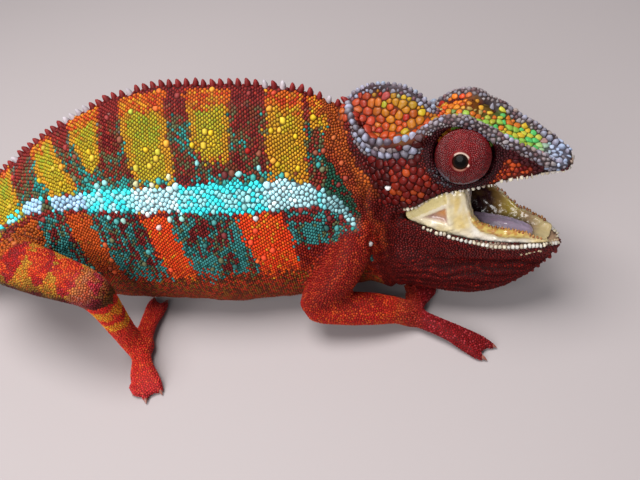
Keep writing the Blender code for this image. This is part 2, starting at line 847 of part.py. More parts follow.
def head_cuts():
    """Plates that part the skull, the lower jaw, the throat and the neck."""
    return [
        sheet("nape", (-17.2, 26.0), (-4.4, -4.6), -17, 17),
        sheet("hinge", (-4.7, -4.2), (4.0, -3.0), -15, 15),
        sheet("jaw_back", (-4.55, -4.2), (-7.5, -15.1), -15, 15),
        sheet("jaw_under", (-7.7, -14.9), (34.0, -20.6), -15, 15),
        sheet("throat_back", (-7.5, -14.9), (-10.5, -40.0), -13, 13),
    ]


def across(points, share, radius):
    """Disc across a limb at a share of the way between two neighbouring points."""
    index = int(share)
    a, b = points[index], points[index + 1]
    start, end = Vector((a.x, a.y, a.z)), Vector((b.x, b.y, b.z))
    return disc("limb_cut", start.lerp(end, share - index), end - start, radius)


def bend(points, index, radius):
    """Disc that halves the bend of a limb at one of its points."""
    before, here, after = [Vector((p.x, p.y, p.z)) for p in points[index - 1 : index + 2]]
    up, down = (before - here).normalized(), (after - here).normalized()
    inner = (up + down).normalized()
    return disc("bend_cut", here + inner * radius * 0.45, up - down, radius)


def flank_cut(name, middle, turn, low, high):
    """Upright plate beside the flank that frees an upper limb from it."""
    matrix = Matrix.Translation(middle) @ Matrix.Rotation(math.radians(turn), 4, "Z")
    return box(name, (low[0], -CUT / 2, low[1]), (high[0], CUT / 2, high[1]), matrix)


def limb_cuts():
    """Plates at shoulder and hip, discs at elbow, wrist, knee and ankle."""
    return [
        flank_cut("shoulder_right", (4.6, -29.0, 17.0), 7.0, (-11, -16), (13.5, 14.5)),
        disc("shoulder_left", (7.4, 0.2, 21.6), (-0.5, 0.68, -0.53), 9.5),
        disc("hip_right", (-70.6, -31.4, 30.2), (0.75, -0.65, 0.1), 10.5),
        disc("hip_left", (-73.4, 8.3, 28.2), (0.72, 0.69, 0.05), 10.5),
        bend(RIGHT_ARM, 3, 9.5),
        bend(LEFT_ARM, 3, 9.5),
        across(RIGHT_ARM, 5.75, 6.0),
        across(LEFT_ARM, 5.75, 6.0),
        bend(RIGHT_LEG, 3, 9.0),
        bend(LEFT_LEG, 3, 9.0),
        across(RIGHT_LEG, 5.6, 6.0),
        across(LEFT_LEG, 5.6, 6.0),
    ]


def tail_cuts():
    """Discs across the tail."""
    path = tail_path()
    cuts = []
    for share in TAIL_CUTS:
        index = max(1, round(share * (len(path) - 1)))
        way = path[index + 1][0] - path[index - 1][0]
        cuts.append(disc("tail_cut", path[index][0], way, path[index][1] + 5.0))
    return cuts


def neck_cut():
    """Plate that parts the neck from the trunk, just ahead of the shoulders."""
    turn = Matrix.Translation((15.6, -14.0, 28.0)) @ Matrix.Rotation(math.radians(-9), 4, "Y")
    return box("neck_cut", (-CUT / 2, -18.0, -40.0), (CUT / 2, 20.0, 40.0), turn)


# ---------------------------------------------------------------------------------------------
# Naming and finishing
# ---------------------------------------------------------------------------------------------
SEEDS = {
    "head": HEAD @ Vector((8.0, 0.0, 10.0)),
    "lower_jaw": HEAD @ Vector((10.0, 0.0, -16.0)),
    "throat": HEAD @ Vector((7.0, 0.0, -25.0)),
    "neck": Vector((21.0, -15.0, 25.0)),
    "trunk": Vector((-35.0, -14.0, 31.0)),
    "tail_1": Vector((-120.0, -4.0, 11.0)),
    "right_upper_arm": Vector((2.0, -30.0, 13.0)),
    "right_forearm": Vector((11.0, -33.0, 7.0)),
    "right_hand": Vector((30.0, -34.0, 3.0)),
    "left_upper_arm": Vector((2.0, 6.0, 14.0)),
    "left_forearm": Vector((11.0, 13.0, 7.0)),
    "left_hand": Vector((30.0, 16.0, 3.0)),
    "right_thigh": Vector((-58.0, -36.0, 33.0)),
    "right_shin": Vector((-48.5, -39.5, 19.0)),
    "right_foot": Vector((-48.0, -38.0, 3.0)),
    "left_thigh": Vector((-63.0, 14.0, 28.0)),
    "left_shin": Vector((-59.0, 19.0, 17.0)),
    "left_foot": Vector((-58.0, 20.0, 3.0)),
}


def tail_seeds():
    """Middle places of the further tail lengths."""
    path = tail_path()
    bounds = (*TAIL_CUTS, 1.0)
    seeds = {}
    for i in range(1, 4):
        share = (bounds[i] + bounds[i + 1]) / 2
        seeds[f"tail_{i + 1}"] = path[round(share * (len(path) - 1))][0]
    return seeds


def loose_parts(item):
    """Split an object into its separate closed bodies."""
    work = bmesh.new()
    work.from_mesh(item.data)
    work.verts.ensure_lookup_table()
    seen = set()
    parts = []
    for vert in work.verts:
        if vert.index in seen:
            continue
        stack, group = [vert], []
        seen.add(vert.index)
        while stack:
            here = stack.pop()
            group.append(here)
            for edge in here.link_edges:
                other = edge.other_vert(here)
                if other.index not in seen:
                    seen.add(other.index)
                    stack.append(other)
        parts.append(group)
    made = []
    for group in parts:
        order = {v.index: i for i, v in enumerate(group)}
        faces = {f for v in group for f in v.link_faces}
        ordered = sorted(faces, key=lambda f: f.index)
        mesh = bpy.data.meshes.new("part")
        corners = [[order[v.index] for v in f.verts] for f in ordered]
        mesh.from_pydata([tuple(v.co) for v in group], [], corners)
        made.append(link(mesh, "part"))
    work.free()
    bpy.data.objects.remove(item)
    return made


def volume_of(item):
    """Volume of a closed mesh."""
    work = bmesh.new()
    work.from_mesh(item.data)
    size = abs(work.calc_volume())
    work.free()
    return size


def name_parts(parts):
    """Give each separate body the name of the seed that lies deepest in its own span."""
    seeds = dict(SEEDS)
    seeds.update(tail_seeds())
    parts = sorted(parts, key=volume_of, reverse=True)
    kept = parts[: len(seeds)]
    for scrap in parts[len(seeds) :]:
        bpy.data.objects.remove(scrap)
    middles = []
    for item in kept:
        points = np.array([v.co for v in item.data.vertices])
        middles.append((points.min(axis=0) + points.max(axis=0)) / 2)
    pairs = []
    for name, seed in seeds.items():
        for i, middle in enumerate(middles):
            pairs.append((float(np.linalg.norm(middle - np.array(seed))), name, i))
    nodes, used = {}, set()
    for _, name, i in sorted(pairs):
        if name in nodes or i in used:
            continue
        nodes[name] = kept[i]
        used.add(i)
    for name, item in nodes.items():
        item.name = name
        item.data.name = name
    return nodes


def faces_for(name):
    """Number of triangles kept on a node of the given name."""
    if name in FACES:
        return FACES[name]
    kinds = {"tail": ("tail",), "upper": ("upper", "thigh"), "lower": ("forearm", "shin")}
    for kind, words in kinds.items():
        if any(word in name for word in words):
            return FACES[kind]
    return FACES["end"]


def paint(item, colour, roughness):
    """Give the object its own plain material."""
    material = bpy.data.materials.new(item.name)
    material.use_nodes = True
    shader = material.node_tree.nodes["Principled BSDF"]
    shader.inputs["Base Color"].default_value = (*colour, 1.0)
    shader.inputs["Roughness"].default_value = roughness
    item.data.materials.clear()
    item.data.materials.append(material)


def claw(name, root, tip):
    """Small curved claw ahead of a toe's tip."""
    way = (tip - root).normalized()
    start = tip + way * (TOE_RADIUS * 0.78 + CLEARANCE - 0.1)
    start.z = 1.05
    rings = []
    turns = np.arange(6) * 2 * math.pi / 6
    side = Vector((-way.y, way.x, 0.0))
    for share, radius in ((0.0, 1.0), (0.5, 0.72), (1.0, 0.16)):
        centre = start + way * CLAW_LENGTH * share
        centre.z = 1.05 + 0.28 * math.sin(share * 2.2) - 0.55 * share**2
        size = CLAW_RADIUS * radius
        ring = []
        for turn in turns:
            spot = centre + side * size * math.cos(turn)
            spot = spot + Vector((0, 0, 1)) * size * math.sin(turn)
            ring.append(tuple(spot))
        rings.append(np.array(ring))
    return loft(name, rings)


def claws():
    """Twenty claws, one ahead of each toe."""
    made = []
    for limb in TOES:
        for i, toe in enumerate(toe_points(limb)):
            root = Vector((toe[2].x, toe[2].y, 0.0))
            tip = Vector((toe[3].x, toe[3].y, 0.0))
            made.append(claw(f"{limb}_claw_{i + 1}", root, tip))
    return made


def build():
    """Build every node of the model."""
    for item in list(bpy.data.objects):
        bpy.data.objects.remove(item)
    shell = join([trunk_form(), skull_form(), jaw_form(), pouch_form()], "shell")
    remesh(shell, VOXEL, SMOOTHING)
    thin_out(shell, SHELL_FACES)
    grow(shell, CLEARANCE * 1.3)
    forms = [trunk_form(), tail_form(), skull_form(), jaw_form(), pouch_form()]
    forms += crest_forms() + limb_forms()
    body = join(forms, "body")
    remesh(body, VOXEL, SMOOTHING)
    thin_out(body, BODY_FACES)
    parts = [body]
    for cutter in [neck_cut()] + head_cuts() + limb_cuts() + tail_cuts():
        parts = cut_parts(parts, cutter)
    nodes = name_parts(parts)
    reds = {"head": MAROON, "throat": MAROON, "neck": MAROON}
    for side in (-1, 1):
        combine(nodes["head"], turret_body("socket", side, CLEARANCE), "DIFFERENCE")
    for name, item in nodes.items():
        thin_out(item, faces_for(name))
        if bounds_of(item)[0][2] < FLOOR_LEVEL:
            combine(item, box("floor", (-400, -200, -20), (200, 200, FLOOR_LEVEL)), "DIFFERENCE")
    combine(nodes["trunk"], back_crest(nodes["trunk"]), "UNION")
    combine(nodes["throat"], gular_crest(nodes["throat"]), "UNION")
    for name, item in nodes.items():
        tidy(item.data)
        paint(item, reds.get(name, RED if "tail" not in name else ORANGE), 0.55)

    lining = mouth_block()
    combine(lining, shell, "DIFFERENCE")
    combine(lining, mouth_hollow(), "DIFFERENCE")
    combine(lining, tongue_form("groove", CLEARANCE), "DIFFERENCE")
    pieces = sorted(loose_parts(lining), key=volume_of, reverse=True)
    for scrap in pieces[1:]:
        bpy.data.objects.remove(scrap)
    lining = pieces[0]
    lining.name = "mouth_lining"
    thin_out(lining, 400)
    paint(lining, CREAM, 0.3)
    tongue = tongue_form("tongue", 0.0)
    paint(tongue, LAVENDER, 0.25)

    for side, word in ((-1, "right"), (1, "left")):
        turret = turret_body(f"eye_turret_{word}", side, 0.0)
        combine(turret, eyeball("room", side, CLEARANCE * 0.6), "DIFFERENCE")
        paint(turret, MAROON, 0.35)
        eye = eyeball(f"eye_{word}", side, 0.0)
        paint(eye, EYE_DARK, 0.1)
    for item in claws():
        paint(item, HORN, 0.4)
    finish()


def finish():
    """Move the model onto its origin, scale it to metres and set each node's own origin."""
    low, high = np.full(3, 1e9), np.full(3, -1e9)
    for item in bpy.data.objects:
        points = np.array([v.co for v in item.data.vertices])
        low, high = np.minimum(low, points.min(axis=0)), np.maximum(high, points.max(axis=0))
    shift = Vector((-(low[0] + high[0]) / 2, -(low[1] + high[1]) / 2, -low[2]))
    for item in bpy.data.objects:
        item.data.transform(Matrix.Scale(MILLIMETRE, 4) @ Matrix.Translation(shift))
        points = np.array([v.co for v in item.data.vertices])
        middle = Vector((points.min(axis=0) + points.max(axis=0)) / 2)
        item.data.transform(Matrix.Translation(-middle))
        item.location = middle
        for face in item.data.polygons:
            face.use_smooth = True
        item.data.set_sharp_from_angle(angle=math.radians(50))


build()
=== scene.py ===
"""Panther chameleon at life size: one skin, its coat of scales, eyes, mouth and claws."""

from __future__ import annotations

import json
import logging
import math
from dataclasses import dataclass, field, fields
from enum import IntEnum
from typing import Callable

import bmesh
import bpy
import numpy as np
from mathutils import Matrix, Vector
from mathutils.bvhtree import BVHTree
from mathutils.kdtree import KDTree

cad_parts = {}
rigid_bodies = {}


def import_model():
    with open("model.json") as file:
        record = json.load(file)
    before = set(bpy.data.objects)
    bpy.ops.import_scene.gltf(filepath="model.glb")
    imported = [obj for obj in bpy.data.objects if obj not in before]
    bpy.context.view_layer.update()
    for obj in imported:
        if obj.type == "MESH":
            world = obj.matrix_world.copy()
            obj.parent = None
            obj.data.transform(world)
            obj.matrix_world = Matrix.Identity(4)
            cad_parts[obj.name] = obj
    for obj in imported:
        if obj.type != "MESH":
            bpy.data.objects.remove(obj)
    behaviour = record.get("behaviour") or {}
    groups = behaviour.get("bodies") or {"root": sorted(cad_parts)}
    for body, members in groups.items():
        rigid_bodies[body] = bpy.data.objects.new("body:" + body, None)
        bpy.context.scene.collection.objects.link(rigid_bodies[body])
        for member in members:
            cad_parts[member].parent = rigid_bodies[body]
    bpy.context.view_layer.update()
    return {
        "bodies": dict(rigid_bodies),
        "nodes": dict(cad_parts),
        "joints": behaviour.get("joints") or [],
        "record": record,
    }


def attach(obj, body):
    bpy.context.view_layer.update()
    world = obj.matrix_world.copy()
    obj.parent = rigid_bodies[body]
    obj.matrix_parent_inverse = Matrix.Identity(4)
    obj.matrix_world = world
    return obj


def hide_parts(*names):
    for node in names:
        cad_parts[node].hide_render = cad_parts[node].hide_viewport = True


LOG = logging.getLogger("chameleon")
MM = 0.001
Array = np.ndarray
Colour = tuple[float, float, float]
HEX = 0.866  # height of a triangle with sides of one
GOLDEN = 2.399963  # turn from one seed to the next in a seed head


class Region(IntEnum):
    """Parts of the body that carry their own markings and scales."""

    HEAD = 0
    JAW = 1
    THROAT = 2
    NECK = 3
    TRUNK = 4
    TAIL = 5
    ARM = 6
    HAND = 7
    LEG = 8
    FOOT = 9


class Kind(IntEnum):
    """Shapes of scale."""

    BEAD = 0
    PLATE = 1
    KNOB = 2
    CONE = 3


NODE_REGIONS = {
    "head": Region.HEAD,
    "lower_jaw": Region.JAW,
    "throat": Region.THROAT,
    "neck": Region.NECK,
    "trunk": Region.TRUNK,
}
NODE_REGIONS.update({f"tail_{number}": Region.TAIL for number in (1, 2, 3, 4)})
LIMB_REGIONS = {
    "upper_arm": Region.ARM,
    "forearm": Region.ARM,
    "hand": Region.HAND,
    "thigh": Region.LEG,
    "shin": Region.LEG,
    "foot": Region.FOOT,
}
for _side in ("right", "left"):
    NODE_REGIONS.update({f"{_side}_{limb}": region for limb, region in LIMB_REGIONS.items()})


@dataclass(frozen=True)
class Pigments:
    """Colours of the animal, linear red, green and blue."""

    maroon: Colour = (0.24, 0.018, 0.016)
    wine: Colour = (0.14, 0.008, 0.01)
    brown: Colour = (0.2, 0.05, 0.02)
    moss: Colour = (0.12, 0.14, 0.06)
    teal: Colour = (0.03, 0.32, 0.29)
    deep_teal: Colour = (0.012, 0.12, 0.11)
    cyan: Colour = (0.05, 0.9, 0.98)
    ice: Colour = (0.44, 0.76, 0.83)
    lime: Colour = (0.36, 0.48, 0.03)
    leaf: Colour = (0.52, 0.44, 0.02)
    yellow: Colour = (0.72, 0.5, 0.02)
    amber: Colour = (0.8, 0.34, 0.02)
    orange: Colour = (0.72, 0.14, 0.012)
    vermilion: Colour = (0.6, 0.05, 0.012)
    red: Colour = (0.42, 0.014, 0.01)
    crimson: Colour = (0.15, 0.004, 0.004)
    ochre: Colour = (0.36, 0.13, 0.012)
    umber: Colour = (0.17, 0.035, 0.01)
    ash: Colour = (0.23, 0.22, 0.27)
    lilac: Colour = (0.33, 0.34, 0.45)


INK = Pigments()


# Small tools


def bare() -> None:
    """Deselect every object."""
    for item in bpy.context.view_layer.objects:
        item.select_set(False)


def activate(item: bpy.types.Object) -> None:
    """Make one object the only selected and the active one.

    Args:
        item: the object.
    """
    bare()
    item.select_set(True)
    bpy.context.view_layer.objects.active = item


def read_rows(items: bpy.types.bpy_prop_collection, key: str, width: int, kind: type = np.float32) -> Array:
    """One row of numbers for each item of a collection.

    Args:
        items: vertices, edges, faces or the like.
        key: name of what is read.
        width: how many numbers an item has.
        kind: type of the numbers.

    Returns:
        The rows.
    """
    flat = np.empty(len(items) * width, kind)
    items.foreach_get(key, flat)
    return flat.reshape(-1, width)


def coords(mesh: bpy.types.Mesh) -> Array:
    """Vertex places of a mesh as rows."""
    return read_rows(mesh.vertices, "co", 3).astype(float)


def place_vertices(mesh: bpy.types.Mesh, points: Array) -> None:
    """Move a mesh's vertices to rows of places."""
    mesh.vertices.foreach_set("co", points.astype(np.float32).ravel())
    mesh.update()


def vertex_normals(mesh: bpy.types.Mesh) -> Array:
    """Smooth normals of a mesh's vertices as rows."""
    return read_rows(mesh.vertex_normals, "vector", 3).astype(float)


def edge_ends(mesh: bpy.types.Mesh) -> Array:
    """The two vertex numbers of each edge."""
    return read_rows(mesh.edges, "vertices", 2, np.int32)


def face_starts(mesh: bpy.types.Mesh) -> Array:
    """Number of the first corner of each face."""
    return read_rows(mesh.polygons, "loop_start", 1, np.int32)[:, 0]


def unit(rows: Array) -> Array:
    """Rows scaled to length one."""
    return rows / np.maximum(np.linalg.norm(rows, axis=-1, keepdims=True), 1e-9)


def neighbour_mean(values: Array, ends: Array, count: Array) -> Array:
    """Mean of each vertex's neighbours.

    Args:
        values: one row per vertex.
        ends: vertex numbers of each edge.
        count: neighbours of each vertex.

    Returns:
        One row per vertex.
    """
    size = len(values)
    total = np.empty_like(values)
    for column in range(values.shape[1]):
        line = values[:, column]
        total[:, column] = np.bincount(ends[:, 0], line[ends[:, 1]], size)
        total[:, column] += np.bincount(ends[:, 1], line[ends[:, 0]], size)
    return total / count[:, None]


def diffuse(values: Array, ends: Array, rounds: int, share: Array | float = 0.5) -> Array:
    """Spread values over the edges of a mesh.

    Args:
        values: one row per vertex.
        ends: vertex numbers of each edge.
        rounds: times the values move towards their neighbours' mean.
        share: how far they move each time, one number or one per vertex.

    Returns:
        The spread values.
    """
    count = np.maximum(np.bincount(ends.ravel(), minlength=len(values)), 1).astype(float)
    weight = np.asarray(share, float)
    if weight.ndim == 1:
        weight = weight[:, None]
    for _ in range(rounds):
        values = values + weight * (neighbour_mean(values, ends, count) - values)
    return values


def evened(points: Array, ends: Array, rounds: int, back: float) -> Array:
    """Smooth facets away, with a step back after each step so that nothing thins.

    Args:
        points: vertex places.
        ends: vertex numbers of each edge.
        rounds: how often it is done.
        back: how far the places step back, less than zero.

    Returns:
        The smoothed places.
    """
    for _ in range(rounds):
        points = diffuse(diffuse(points, ends, 1, 0.6), ends, 1, back)
    return points


def arc_of(line: Array) -> Array:
    """Distance along a line of each of its places."""
    return np.concatenate([[0], np.cumsum(np.linalg.norm(np.diff(line, axis=0), axis=1))])


def read_along(at: Array, along: Array, rows: Array) -> Array:
    """Rows read at distances along a line."""
    return np.column_stack([np.interp(at, along, rows[:, column]) for column in range(3)])


def binned(keys: Array, values: Array, count: int) -> tuple[Array, Array]:
    """Middles of equal steps of the keys and the mean value in each step that has any.

    Args:
        keys: angles in radians.
        values: value at each angle.
        count: number of steps.

    Returns:
        Middles and means.
    """
    stops = np.linspace(-math.pi, math.pi, count + 1)
    which = np.clip(np.digitize(keys, stops) - 1, 0, count - 1)
    number = np.bincount(which, minlength=count)
    total = np.bincount(which, values, count)
    held = number > 0
    return ((stops[1:] + stops[:-1]) / 2)[held], total[held] / number[held]


def diffuse_row(row: Array, rounds: int) -> Array:
    """A closed row of numbers, smoothed.

    Args:
        row: the numbers.
        rounds: how often it is smoothed.

    Returns:
        The smoothed row.
    """
    for _ in range(rounds):
        row = (np.roll(row, 1) + 2 * row + np.roll(row, -1)) / 4
    return row


def ripple(points: Array, size: float, seed: int) -> Array:
    """Smooth uneven field between about -1 and 1.

    Args:
        points: places in mm.
        size: width of its patches in mm.
        seed: number that sets the pattern.

    Returns:
        One value per place.
    """
    draw = np.random.default_rng(seed)
    total = np.zeros(len(points))
    for step in range(6):
        way = unit(draw.normal(size=3)) * (2.0 * math.pi / size) * draw.uniform(0.45, 1.25)
        twist = draw.uniform(0, 2 * math.pi)
        bend = draw.normal(size=3) / size
        total += np.sin(points @ way + twist + 1.6 * np.sin(points @ bend * 3.0 + step))
    return total / 3.0


def between(value: Array, low: float, high: float, soft: float) -> Array:
    """1 inside a range and 0 outside it, with soft ends.

    Args:
        value: the numbers.
        low: where the range starts.
        high: where it stops.
        soft: width of each soft end.

    Returns:
        A share for each number.
    """
    rise = clamp((value - low) / soft + 0.5)
    fall = clamp((high - value) / soft + 0.5)
    return rise * fall


def mix(under: Colour | Array, over: Colour | Array, share: Array) -> Array:
    """Colour rows moved towards another colour by a share per row."""
    share = clamp(share)[:, None]
    return np.asarray(under) * (1 - share) + np.asarray(over) * share


def paint(under: Array, mask: Array, over: Colour | Array) -> Array:
    """Colour rows with another colour wherever a mask holds."""
    return np.where(mask[:, None], np.asarray(over), under)


def clamp(values: Array) -> Array:
    """Values held between 0 and 1."""
    return np.clip(values, 0, 1)


def pick(draw: Array, *choices: float | Colour) -> Array:
    """A colour for each of some numbers between 0 and 1.

    Args:
        draw: the numbers.
        choices: share and colour by turns, and last the colour of the rest.

    Returns:
        Colour rows.
    """
    draw = np.clip(draw, 0, 0.999)
    out = np.empty((len(draw), 3))
    out[:] = choices[-1]
    low = 0.0
    for share, colour in zip(choices[:-1:2], choices[1::2]):
        out[(draw >= low) & (draw < low + share)] = colour
        low += share
    return out


def linked(name: str, data: bpy.types.ID) -> bpy.types.Object:
    """New object with some data, put in the scene.

    Args:
        name: its name.
        data: mesh, camera or light.

    Returns:
        The object.
    """
    item = bpy.data.objects.new(name, data)
    bpy.context.scene.collection.objects.link(item)
    return item


def array_mesh(name: str, points: Array, corners: Array, sizes: Array) -> bpy.types.Object:
    """Object from arrays.

    Args:
        name: name of the object and its mesh.
        points: vertex places in metres.
        corners: vertex number of each face corner.
        sizes: number of corners of each face.

    Returns:
        The new object, smooth shaded.
    """
    mesh = bpy.data.meshes.new(name)
    mesh.vertices.add(len(points))
    mesh.vertices.foreach_set("co", points.astype(np.float32).ravel())
    mesh.loops.add(len(corners))
    mesh.loops.foreach_set("vertex_index", corners.astype(np.int32))
    mesh.polygons.add(len(sizes))
    starts = np.concatenate([[0], np.cumsum(sizes)[:-1]]).astype(np.int32)
    mesh.polygons.foreach_set("loop_start", starts)
    mesh.polygons.foreach_set("use_smooth", np.ones(len(sizes), bool))
    mesh.update(calc_edges=True)
    return linked(name, mesh)


def ring_faces(sides: int, rings: int, tip: bool = True) -> tuple[Array, Array]:
    """Faces between rings of vertices that follow each other.

    Args:
        sides: vertices of each ring.
        rings: number of rings.
        tip: whether the last ring closes on one more vertex.

    Returns:
        Vertex number of each face corner, and the number of corners of each face.
    """
    faces, sizes = [], []
    for low in range(0, (rings - 1) * sides, sides):
        for k in range(sides):
            after = (k + 1) % sides
            faces += [low + k, low + after, low + sides + after, low + sides + k]
            sizes.append(4)
    last = (rings - 1) * sides
    for k in range(sides if tip else 0):
        faces += [last + k, last + (k + 1) % sides, last + sides]
        sizes.append(3)
    return np.array(faces), np.array(sizes)


def worked_mesh(name: str, work: bmesh.types.BMesh) -> bpy.types.Object:
    """Object with what a bmesh holds, which is freed.

    Args:
        name: its name.
        work: the bmesh.

    Returns:
        The object.
    """
    mesh = bpy.data.meshes.new(name)
    work.to_mesh(mesh)
    work.free()
    return linked(name, mesh)


def copy_nodes(names: list[str], frame: dict, name: str) -> bpy.types.Object:
    """One object in mm with merged copies of some nodes.

    Args:
        names: names of the nodes.
        name: name of the copy.

    Returns:
        The copy.
    """
    work = bmesh.new()
    for node in names:
        work.from_mesh(frame["nodes"][node].data)
    bmesh.ops.remove_doubles(work, verts=work.verts, dist=0.00001)
    bmesh.ops.scale(work, vec=(1000, 1000, 1000), verts=work.verts)
    return worked_mesh(name, work)


def bake_modifier(item: bpy.types.Object, kind: str, **values: object) -> None:
    """Add a modifier with values and apply it.

    Args:
        item: the object.
        kind: type of the modifier.
        values: its settings.
    """
    activate(item)
    modifier = item.modifiers.new(kind.lower(), kind)
    for key, value in values.items():
        setattr(modifier, key, value)
    bpy.ops.object.modifier_apply(modifier=modifier.name)


def colour_layer(mesh: bpy.types.Mesh, name: str, rows: Array) -> None:
    """Write a colour for each vertex.

    Args:
        mesh: the object's mesh.
        name: name of the layer.
        rows: a colour for each vertex.
    """
    layer = mesh.color_attributes.new(name, "FLOAT_COLOR", "POINT")
    full = np.ones((len(rows), 4), np.float32)
    full[:, :3] = rows
    layer.data.foreach_set("color", full.ravel())


def value_layer(mesh: bpy.types.Mesh, name: str, rows: Array) -> None:
    """Write a number for each vertex."""
    layer = mesh.attributes.new(name, "FLOAT", "POINT")
    layer.data.foreach_set("value", rows.astype(np.float32))


def surface_tree(item: bpy.types.Object) -> BVHTree:
    """Search tree over an object's faces."""
    faces = [tuple(face.vertices) for face in item.data.polygons]
    return BVHTree.FromPolygons([tuple(p) for p in coords(item.data)], faces)


def shell_tree(frame: dict, names: list[str]) -> BVHTree:
    """Search tree in mm over some nodes.

    Args:
        names: names of the nodes.

    Returns:
        The tree.
    """
    corners: list[tuple[float, ...]] = []
    faces: list[tuple[int, ...]] = []
    for name in names:
        mesh = frame["nodes"][name].data
        base = len(corners)
        corners += [tuple(p) for p in coords(mesh) * 1000]
        faces += [tuple(base + v for v in face.vertices) for face in mesh.polygons]
    return BVHTree.FromPolygons(corners, faces)


# Shader effects and finishes


def feed(tree: bpy.types.NodeTree, node: bpy.types.Node, feeds: dict[str | int, object]) -> None:
    """Give a node's inputs their values, or a link where the value is an output.

    Args:
        tree: tree of the node.
        node: the node.
        feeds: value or output for each input.
    """
    for key, value in feeds.items():
        if isinstance(value, bpy.types.NodeSocket):
            tree.links.new(value, node.inputs[key])
        else:
            node.inputs[key].default_value = value


def add_node(
    tree: bpy.types.NodeTree, kind: str, feeds: dict[str | int, object], **settings: object
) -> bpy.types.NodeOutputs:
    """New shader node.

    Args:
        tree: tree that gets the node.
        kind: its type, without the ShaderNode before it.
        feeds: value or output for each of its inputs.
        settings: its own settings.

    Returns:
        Its outputs.
    """
    node = tree.nodes.new(f"ShaderNode{kind}")
    for key, value in settings.items():
        setattr(node, key, value)
    feed(tree, node, feeds)
    return node.outputs


def group_of(
    name: str, inputs: dict[str, Colour | float]
) -> tuple[bpy.types.NodeTree, bpy.types.NodeOutputs]:
    """New shader node group that puts out colour, roughness and height.

    Args:
        name: name of the group.
        inputs: first value of each input, a colour or a number.

    Returns:
        The group's tree, and the inputs as its nodes get them.
    """
    tree = bpy.data.node_groups.new(name, "ShaderNodeTree")
    for label, value in inputs.items():
        kind = "NodeSocketFloat" if isinstance(value, float) else "NodeSocketColor"
        tree.interface.new_socket(label, in_out="INPUT", socket_type=kind).default_value = value
    for label, kind in (("Colour", "Color"), ("Roughness", "Float"), ("Height", "Float")):
        tree.interface.new_socket(label, in_out="OUTPUT", socket_type=f"NodeSocket{kind}")
    return tree, tree.nodes.new("NodeGroupInput").outputs


def scale_grain() -> bpy.types.NodeTree:
    """Group that mottles a scale's pigment, darkens its foot with painted shade and roughens its face."""
    first = {"Pigment": (0.5, 0.1, 0.05, 1), "Rise": 1.0, "Foot": (0.3, 0.12, 0.11, 1)}
    tree, given = group_of("scale_grain", {**first, "Roughness": 0.45, "Grain": 900.0})
    where = add_node(tree, "TexCoord", {})["Object"]
    mottle = add_node(tree, "TexNoise", {"Detail": 3.0, "Vector": where, "Scale": given["Grain"]})["Fac"]
    span = {"From Min": 0.3, "From Max": 0.7, "To Min": 0.78, "To Max": 1.15}
    shade = add_node(tree, "MapRange", {**span, "Value": mottle})["Result"]
    # Painted shade: the pigment times the foot shade tint darkens each scale towards its foot, where shade
    # falls between scales.
    foot_shade = add_node(tree, "VectorMath", {0: given["Pigment"], 1: given["Foot"]}, operation="MULTIPLY")[0]
    mixed = {"Factor": given["Rise"], "A": foot_shade, "B": given["Pigment"]}
    blend = add_node(tree, "Mix", mixed, data_type="RGBA")["Result"]
    tint = add_node(tree, "VectorMath", {0: blend, "Scale": shade}, operation="SCALE")[0]
    added = {0: mottle, 1: 0.25, 2: given["Roughness"]}
    rough = add_node(tree, "Math", added, operation="MULTIPLY_ADD")[0]
    feed(tree, tree.nodes.new("NodeGroupOutput"), {"Colour": tint, "Roughness": rough, "Height": mottle})
    return tree


def wet_folds() -> bpy.types.NodeTree:
    """Group that veins and wrinkles a wet lining."""
    first = {"Pigment": (0.7, 0.6, 0.3, 1), "Stain": (0.5, 0.2, 0.05, 1)}
    tree, given = group_of("wet_folds", {**first, "Size": 300.0, "Share": 0.4})
    where = add_node(tree, "TexCoord", {})["Object"]
    drift = {"Detail": 5.0, "Distortion": 0.6, "Vector": where, "Scale": given["Size"]}
    cloud = add_node(tree, "TexNoise", drift)["Fac"]
    span = {"From Min": 0.45, "From Max": 0.72, "Value": cloud, "To Max": given["Share"]}
    edge = add_node(tree, "MapRange", span)["Result"]
    mixed = {"Factor": edge, "A": given["Pigment"], "B": given["Stain"]}
    blend = add_node(tree, "Mix", mixed, data_type="RGBA")["Result"]
    rough = add_node(tree, "MapRange", {"To Min": 0.12, "To Max": 0.42, "Value": cloud})["Result"]
    feed(tree, tree.nodes.new("NodeGroupOutput"), {"Colour": blend, "Roughness": rough, "Height": cloud})
    return tree


def new_material(name: str) -> tuple[bpy.types.Material, bpy.types.NodeTree, bpy.types.Node]:
    """New material, with its tree and its main shader.

    Args:
        name: its name.

    Returns:
        Material, tree and shader.
    """
    material = bpy.data.materials.new(name)
    material.use_nodes = True
    return material, material.node_tree, material.node_tree.nodes["Principled BSDF"]


def effect_material(
    name: str,
    effect: Callable[[], bpy.types.NodeTree],
    feeds: dict[str, object],
    relief: tuple[float, float],
    gloss: tuple[float, float, float],
) -> bpy.types.Material:
    """Material whose colour, roughness and relief come from a shader effect.

    Args:
        name: name of the material.
        effect: function that makes the effect's group, which has its name.
        feeds: value for each input of the group, or the name of a point layer.
        relief: strength and depth of the relief.
        gloss: specular level, coat weight and coat roughness.

    Returns:
        The material.
    """
    material, tree, shader = new_material(name)
    group = tree.nodes.new("ShaderNodeGroup")
    group.node_tree = bpy.data.node_groups.get(effect.__name__) or effect()
    for key, value in feeds.items():
        if isinstance(value, str):
            read = add_node(tree, "Attribute", {}, attribute_name=value)
            value = read["Color" if value == "pigment" else "Fac"]
        feed(tree, group, {key: value})
    height = {"Strength": relief[0], "Distance": relief[1], "Height": group.outputs["Height"]}
    normal = add_node(tree, "Bump", height)["Normal"]
    colour, rough = group.outputs["Colour"], group.outputs["Roughness"]
    feed(tree, shader, {"Base Color": colour, "Roughness": rough, "Normal": normal})
    for key, value in zip(("Specular IOR Level", "Coat Weight", "Coat Roughness"), gloss):
        shader.inputs[key].default_value = value
    return material


